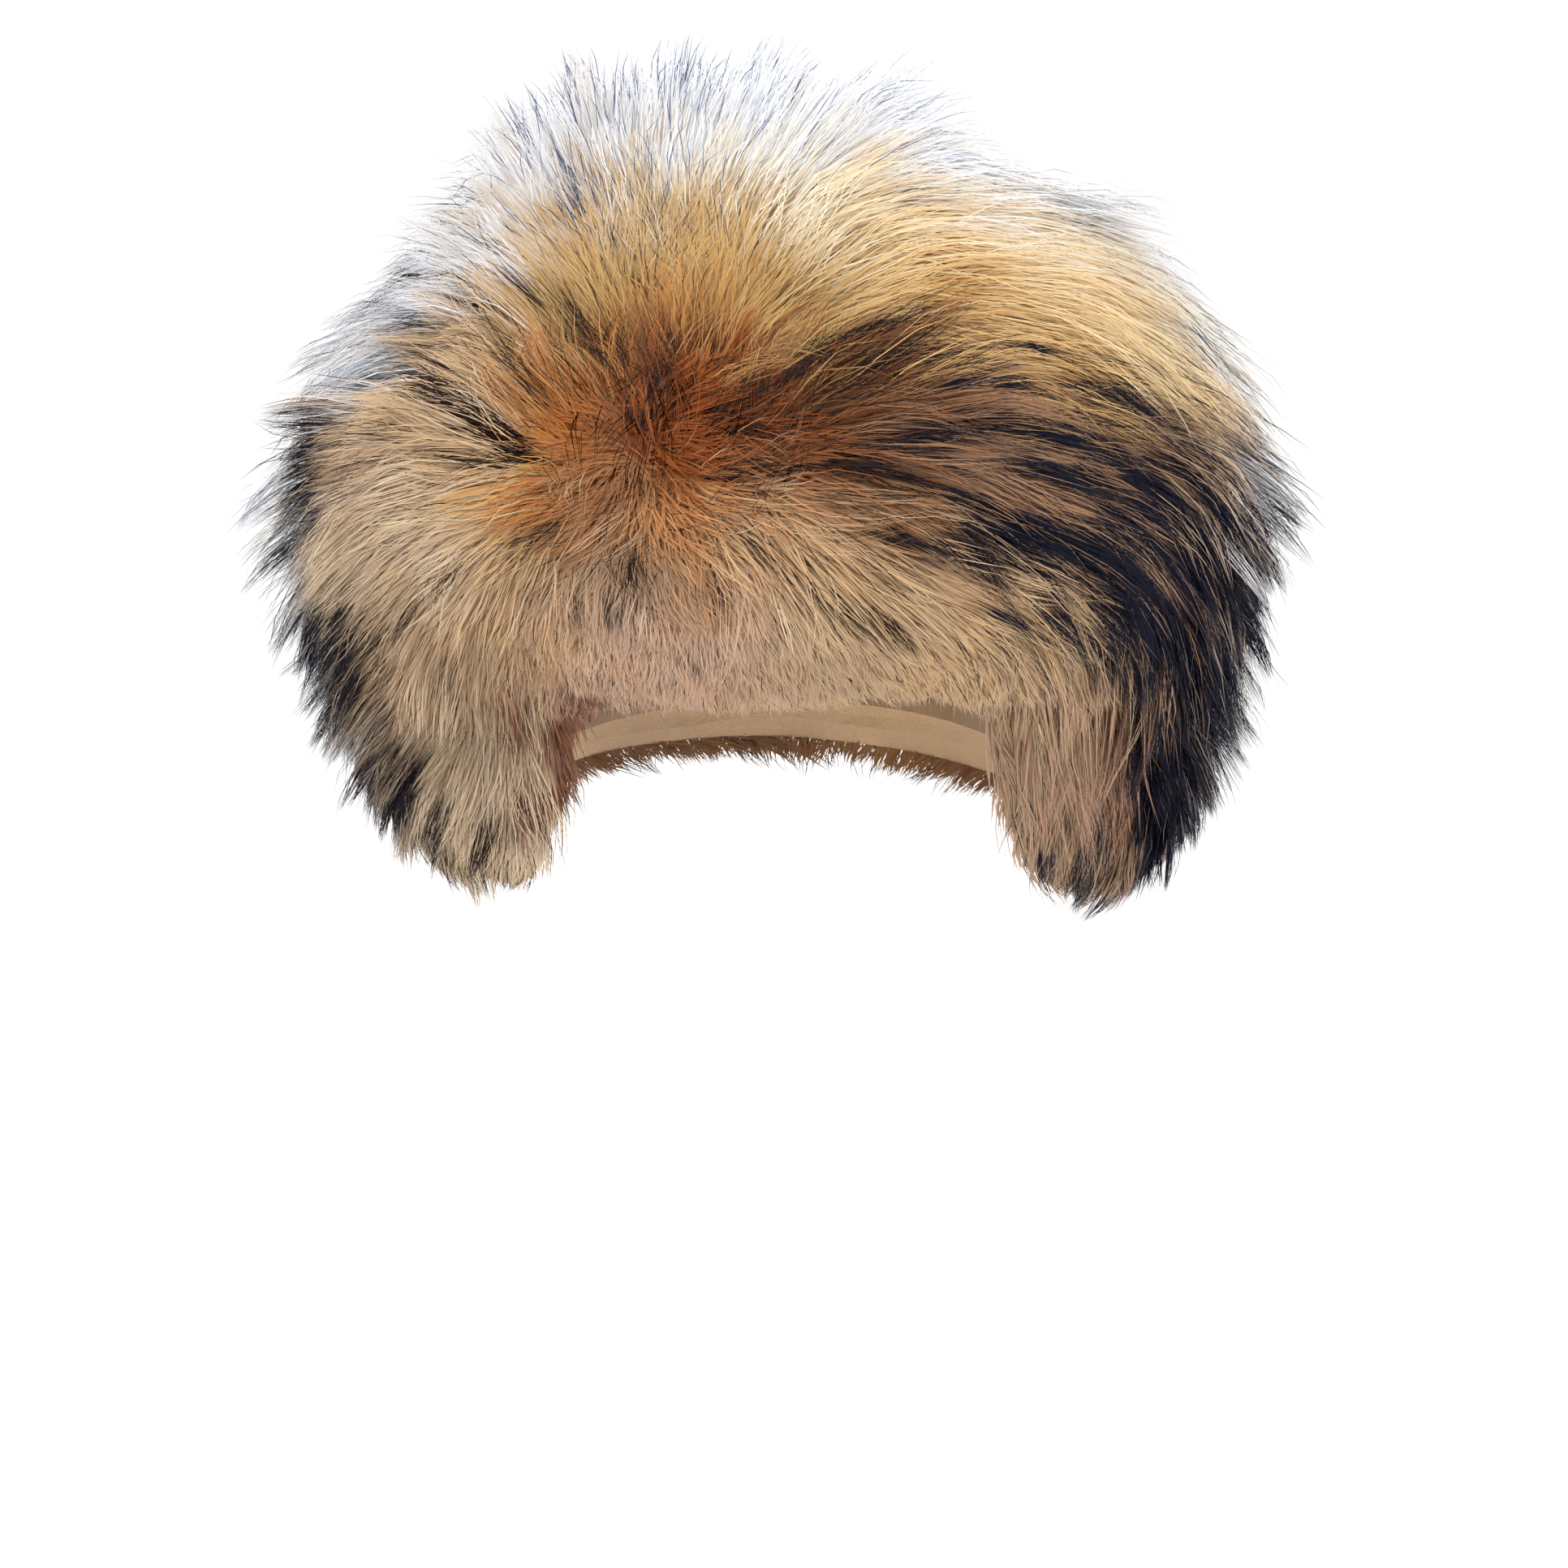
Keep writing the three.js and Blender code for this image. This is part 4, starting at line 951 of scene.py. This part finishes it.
# How hair goes sooty. Underfur does so only in the wider streaks and the darkest places.
UNDER_THINNEST, UNDER_SOOT = 10, (0.45, 0.9)
# A hair goes by its own draw and its lock's, and more by its lock's in dark places.
BY_LOCK, BY_LOCK_MORE, DARK_PLACE = 0.25, 0.4, (0.2, 0.5)
# It is sooty where that draw is below this share, which grows with the charted one. Stray
# hair goes by its own draw and is sooty far more often, up to a limit.
LEAST_SHARE, SHARE_GROWS = 0.06, 0.86
STRAY_MOST, STRAY_GROWS = 0.65, 4.5
# No hair is sooty where the chart is cleaner than this.
CLEAN = 0.015
# The soot begins this far along a hair, less by its draw, and sooner in dark places.
BEGINS, BEGINS_SPREAD, SOONER, SOONER_PLACE = 0.62, 0.2, 0.6, (0.1, 0.6)
PICK_EDGE, BEGIN_EDGE = 0.05, 0.14
# Once sooty, a hair keeps this share of it at the next station. Its root takes this share
# of the first one.
STAYS, AT_ROOT = 0.55, 0.6

# A guard hair is half cream where a mix of its lock's draw and its own is below this
# share of the charted one.
CREAM_BY_LOCK, CREAM_SHARE = 0.4, 0.8
# How far a lock's draw takes out of red, green and blue.
WARMTH = np.array([0, 0.08, 0.20])
# Sooty tips are blue-black towards the right and the top of the photograph, in pixels, and where the
# fur turns from the camera: the blue is partly the dark hair's own navy and partly painted sheen and
# backlight. Right at the top they are painted paler, towards slate, as backlight through the thin
# tips.
BLUE_RIGHT, BLUE_TOP, BLUE_TURN = (1100, 1300), (200, 320), (0.2, 0.6)
BACKLIT_TOP, BACKLIT_TURN = (130, 290), (-0.4, -0.1)
# Round the rim the light comes through the hair, so its tips are painted paler towards the frost tone:
# painted backlight.
RIM_BACKLIGHT, RIM_FROM, RIM_TO, RIM_POWER = 0.85, (-0.5, -0.15), (0.0, 0.28), 1.5


def coat_area(mesh, thickness):
    """The pile's area in square metres, counted by how thick its coat is."""
    areas = np.array([p.area for p in mesh.polygons])
    return float((areas * read(mesh, thickness)).sum())


def grown(pile, name, layer, hairs, seed):
    """The hairs of one layer on a pile, as a plain mesh."""
    settings = dict(COATS[layer], Seed=seed, Blade=BLADES[layer])
    settings["Hairs per square metre"] = hairs / coat_area(pile.data, settings["Thickness"])
    bearer = shown("bearer", pile.data)
    growth = bearer.modifiers.new("growth", "NODES")
    growth.node_group = fur_coat
    for socket in fur_coat.interface.items_tree:
        if socket.in_out == "INPUT" and socket.name in settings:
            value = settings[socket.name]
            growth[socket.identifier] = float(value) if isinstance(value, float) else value
    graph = bpy.context.evaluated_depsgraph_get()
    mesh = bpy.data.meshes.new_from_object(bearer.evaluated_get(graph), depsgraph=graph)
    bpy.data.objects.remove(bearer)
    mesh.name = name
    return shown(name, mesh)


def held_in(places):
    """The places, with those near the outermost limits drawn back inside them."""
    low, high = (np.array(corner) for corner in cad_box)
    for limit, way in ((high + MARGIN, 1), (low - MARGIN, -1)):
        over = np.maximum(way * (places - limit) + BENDS_OVER, 0)
        places = places - way * (over - BENDS_OVER * (1 - np.exp(-over / BENDS_OVER)))
    return places


def turned_out(mesh, corners):
    """Each hair's corners, the way the fur faces at its root, and its own way. Hairs that
    face into the fur are turned over."""
    places = np.empty(len(mesh.vertices) * 3, np.float32)
    mesh.vertices.foreach_get("co", places)
    places = places.reshape(-1, corners, 3).astype(float)
    outward = read(mesh, "outward", 3).reshape(-1, corners, 3)[:, 0]
    own_way = np.empty(len(mesh.polygons) * 3, np.float32)
    mesh.polygons.foreach_get("normal", own_way)
    own_way = own_way.reshape(len(places), -1, 3)[:, 0]
    turned = (own_way * outward).sum(1) < 0
    edges = places[turned, :-1].reshape(-1, corners // 2, 2, 3)[:, :, ::-1]
    places[turned, :-1] = edges.reshape(-1, corners - 1, 3)
    own_way[turned] *= -1
    return held_in(places), outward, own_way


def ground_tones(layer, middles, facing, lock_draw, own):
    """Each hair's tone at its middle, and whether the hair is cream."""
    single, as_lock = UNLIKE[layer]
    tone, cream = tone_at(middles + (lock_draw[:, 3:] - 0.5) * TONE_JITTER, facing)
    draw = CREAM_BY_LOCK * lock_draw[:, 4] + (1 - CREAM_BY_LOCK) * own[:, 2]
    creamy = (draw < CREAM_SHARE * cream) & (layer == "guard")
    tone = np.where(creamy[:, None], 0.5 * tone + 0.5 * TONES["cream"], tone)
    bright = 1 + as_lock * (lock_draw[:, 0] - 0.5) + single * (own[:, 0] - 0.5)
    return tone * bright[:, None] * (1 - (lock_draw[:, 2:3] - 0.5) * WARMTH), creamy


def sooty_tones(tips, facing):
    """The tone of each hair's sooty length, with a painted blue sheen and painted backlight."""
    across, down = in_picture(tips).T
    # The blue is partly the dark hair's own navy and partly painted sheen, and painted backlight where
    # the fur turns from the camera.
    blue = np.maximum(smooth(*BLUE_RIGHT, across), 1 - smooth(*BLUE_TURN, facing))
    blue = np.maximum(blue, 1 - smooth(*BLUE_TOP, down))[:, None]
    sooted = TONES["char"] * (1 - blue) + TONES["ink"] * blue
    # Painted backlight: right at the top the sooty tips are drawn towards slate.
    backlit_slate = (1 - smooth(*BACKLIT_TOP, down)) * smooth(*BACKLIT_TURN, facing)
    return sooted + (TONES["slate"] - sooted) * backlit_slate[:, None]


def rim_backlit(tone, along, facing):
    """Each hair's tones along it, drawn towards the frost tone near the tip round the rim: painted
    backlight.
    """
    rim = RIM_BACKLIGHT * smooth(*RIM_FROM, facing) * (1 - smooth(*RIM_TO, facing))
    share = rim[:, None] * along ** RIM_POWER
    return tone[:, None] + (TONES["frost"] - tone)[:, None] * share[..., None]


def sooty_length(stations, facing, layer, lock_pick, own_pick, start):
    """How dark each hair is at its stations: its lock or itself is picked by the chart's
    share there, and once dark it stays mostly dark to the tip."""
    dark, steps = [np.zeros(len(stations))], stations.shape[1] - 1
    for step in range(1, steps + 1):
        soot = soot_at(stations[:, step], facing, UNDER_THINNEST if layer == "under" else 0)
        if layer == "under":
            soot = soot * smooth(*UNDER_SOOT, soot)
        as_lock = BY_LOCK + BY_LOCK_MORE * smooth(*DARK_PLACE, soot)
        pick = as_lock * lock_pick + (1 - as_lock) * own_pick
        share = LEAST_SHARE + SHARE_GROWS * soot
        if layer == "stray":
            pick, share = own_pick, np.minimum(STRAY_MOST, STRAY_GROWS * soot)
        here = smooth(-PICK_EDGE, PICK_EDGE, share - pick) * (soot > CLEAN)
        begins = start - SOONER * smooth(*SOONER_PLACE, soot)
        here = here * smooth(-BEGIN_EDGE, BEGIN_EDGE, step / steps - begins)
        dark.append(np.maximum(here, STAYS * dark[-1]))
    dark[0] = AT_ROOT * dark[1]
    return np.stack(dark, 1)


def painted(piece, layer, seed):
    """Gives every hair its tone and its sooty length, its shading, and a strip of the
    bake map."""
    mesh, corners = piece.data, 2 * STATIONS[layer] + 1
    places, outward, own_way = turned_out(mesh, corners)
    count = len(places)
    mesh.vertices.foreach_set("co", places.astype(np.float32).ravel())
    stations = np.concatenate([places[:, :-1].reshape(count, -1, 2, 3).mean(2),
                               places[:, -1:]], axis=1)
    lock = np.empty(len(mesh.vertices), np.int32)
    mesh.attributes["lock"].data.foreach_get("value", lock)
    lock = lock.reshape(-1, corners)[:, 0]
    facing = to_camera(places[:, 0], outward)
    draw = np.random.default_rng(seed)
    lock_draw = draw.random((lock.max() + 1, 6))[lock]
    own = draw.random((count, 3))

    tone, creamy = ground_tones(layer, places[:, corners // 2], facing, lock_draw, own)
    aside = (lock_draw[:, 3:] - 0.5) * SOOT_JITTER
    dark = sooty_length(stations + aside[:, None], facing, layer, lock_draw[:, 1], own[:, 1],
                        BEGINS - BEGINS_SPREAD * own[:, 2])
    dark = dark * ~creamy[:, None]
    dark = np.concatenate([np.repeat(dark[:, :-1], 2, axis=1), dark[:, -1:]], axis=1)
    # Painted backlight: round the rim the tips are drawn towards the frost tone.
    tone = rim_backlit(tone, read(mesh, "along").reshape(-1, corners), facing)
    keep(mesh, "tone", np.clip(tone, 0, 1).reshape(-1, 3))
    keep(mesh, "soot", np.repeat(sooty_tones(places[:, -1], facing), corners, axis=0))
    keep(mesh, "dark", dark.ravel())
    normals = (outward + OWN_WAY[layer] * own_way)[:, None] + (places - places[:, :1]) / ROUND
    mesh.normals_split_custom_set_from_vertices(unit(normals).reshape(-1, 3))
    for name in [a.name for a in mesh.attributes]:
        if name not in KEPT:
            mesh.attributes.remove(mesh.attributes[name])
    strip_map(mesh, corners)


# A strip of the bake map is this many times as tall as wide. The hair fills it between
# two sides and two ends, which are shares of the strip.
SLENDER = 10
STRIP_SIDES, STRIP_ENDS = (0.1, 0.9), (0.05, 0.95)


def strip_map(mesh, corners):
    """The bake map: every hair has a strip of its own, with its length upwards."""
    count = len(mesh.vertices) // corners
    rows = int(math.ceil(math.sqrt(count / SLENDER)))
    columns = int(math.ceil(count / rows))
    which = np.empty(len(mesh.loops), np.int32)
    mesh.loops.foreach_get("vertex_index", which)
    hair, corner = which // corners, which % corners
    across = np.array([*STRIP_SIDES * (corners // 2), 0.5])[corner]
    start, end = STRIP_ENDS
    along = start + (end - start) * read(mesh, "along")[which]
    u = (hair % columns + across) / columns
    v = (hair // columns + along) / rows
    layer = mesh.uv_layers.new(name="OFBake")
    layer.data.foreach_set("uv", np.stack([u, v], 1).astype(np.float32).ravel())


# A coat is parted into pieces of at most this many triangles.
MOST_TRIANGLES = 195000
TRIANGLES = {layer: 2 * count - 1 for layer, count in STATIONS.items()}
FIRST_SEED, ZONE_SEEDS, COAT_SEEDS = 3, 100, 11


def placed(piece):
    """Ties a piece to the hat."""
    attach(piece, BODY)


def zone_pieces(zone, seed):
    """The pile and the coats of hair on one pelt."""
    pile = pile_of(zone["name"] + "_pile", zone["node"], zone["whorl"])
    for layer in STATIONS:
        parts = math.ceil(zone[layer] * TRIANGLES[layer] / MOST_TRIANGLES)
        for part in range(parts):
            seed += COAT_SEEDS
            name = "_".join([zone["name"], layer, "hair"] + (["ab"[part]] if parts > 1 else []))
            piece = grown(pile, name, layer, zone[layer] / parts, seed)
            painted(piece, layer, seed)
            placed(piece)
    mesh = pile.data
    points = np.array([v.co for v in mesh.vertices])
    tone, _ = tone_at(points, to_camera(points, read(mesh, "outward", 3)))
    keep(mesh, "tone", tone)
    for name in GROWTH:
        mesh.attributes.remove(mesh.attributes[name])
    mesh.materials.append(pile_skin)
    placed(pile)
    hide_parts(zone["node"])


# The floor, how pale it is, and how bright the room is.
FLOOR_HALF, FLOOR_HEIGHT, FLOOR_PALE = 300.0, -0.42, 0.97
ROOM_LIGHT = 1.05
# Each lamp's place and size in metres, and its watts. All look at the hat's middle.
LAMPS = {"key": ((-1.1, -1.6, 1.5), 1.2, 16), "fill": ((1.5, -1.2, 0.8), 1.4, 6),
         "top": ((0.1, 0.3, 1.7), 1.2, 8)}
AIM = Vector((0, 0, -0.06))


def stage():
    """A plain pale floor, soft studio lights and the photograph's camera."""
    floor_mesh = bpy.data.meshes.new("floor")
    corners = [(x * FLOOR_HALF, y * FLOOR_HALF, FLOOR_HEIGHT)
               for x, y in ((-1, -1), (1, -1), (1, 1), (-1, 1))]
    floor_mesh.from_pydata(corners, [], [(0, 1, 2, 3)])
    paint, _, _ = material("pale_floor", {"Base Color": (*[FLOOR_PALE] * 3, 1),
                                          "Roughness": 0.9, "Specular IOR Level": 0.0})
    floor_mesh.materials.append(paint)
    floor = shown("floor", floor_mesh)

    world = bpy.data.worlds.new("studio")
    world.use_nodes = True
    room = world.node_tree.nodes["Background"]
    room.inputs["Color"].default_value = (1, 1, 1, 1)
    room.inputs["Strength"].default_value = ROOM_LIGHT
    bpy.context.scene.world = world

    for name, (place, size, watts) in LAMPS.items():
        lamp = bpy.data.lights.new(name, "AREA")
        lamp.size, lamp.energy = size, watts
        holder = shown(name, lamp)
        holder.location = place
        holder.rotation_euler = (AIM - Vector(place)).to_track_quat("-Z", "Y").to_euler()

    lens = bpy.data.cameras.new("camera")
    lens.lens, lens.sensor_width, lens.clip_end = LENS, SENSOR, 3 * FLOOR_HALF
    camera = shown("camera", lens)
    camera.location = CAMERA
    camera.rotation_euler = (math.pi / 2 + CAMERA_TILT, 0, 0)
    bpy.context.scene.camera = camera
    bpy.context.scene.view_settings.view_transform = "Standard"


stage()
for number, zone in enumerate(ZONES):
    zone_pieces(zone, ZONE_SEEDS * number + FIRST_SEED)
for name in WALLS:
    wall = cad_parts[name]
    wall.data.materials.clear()
    wall.data.materials.append(suede)
for blade in BLADES.values():
    bpy.data.objects.remove(blade)
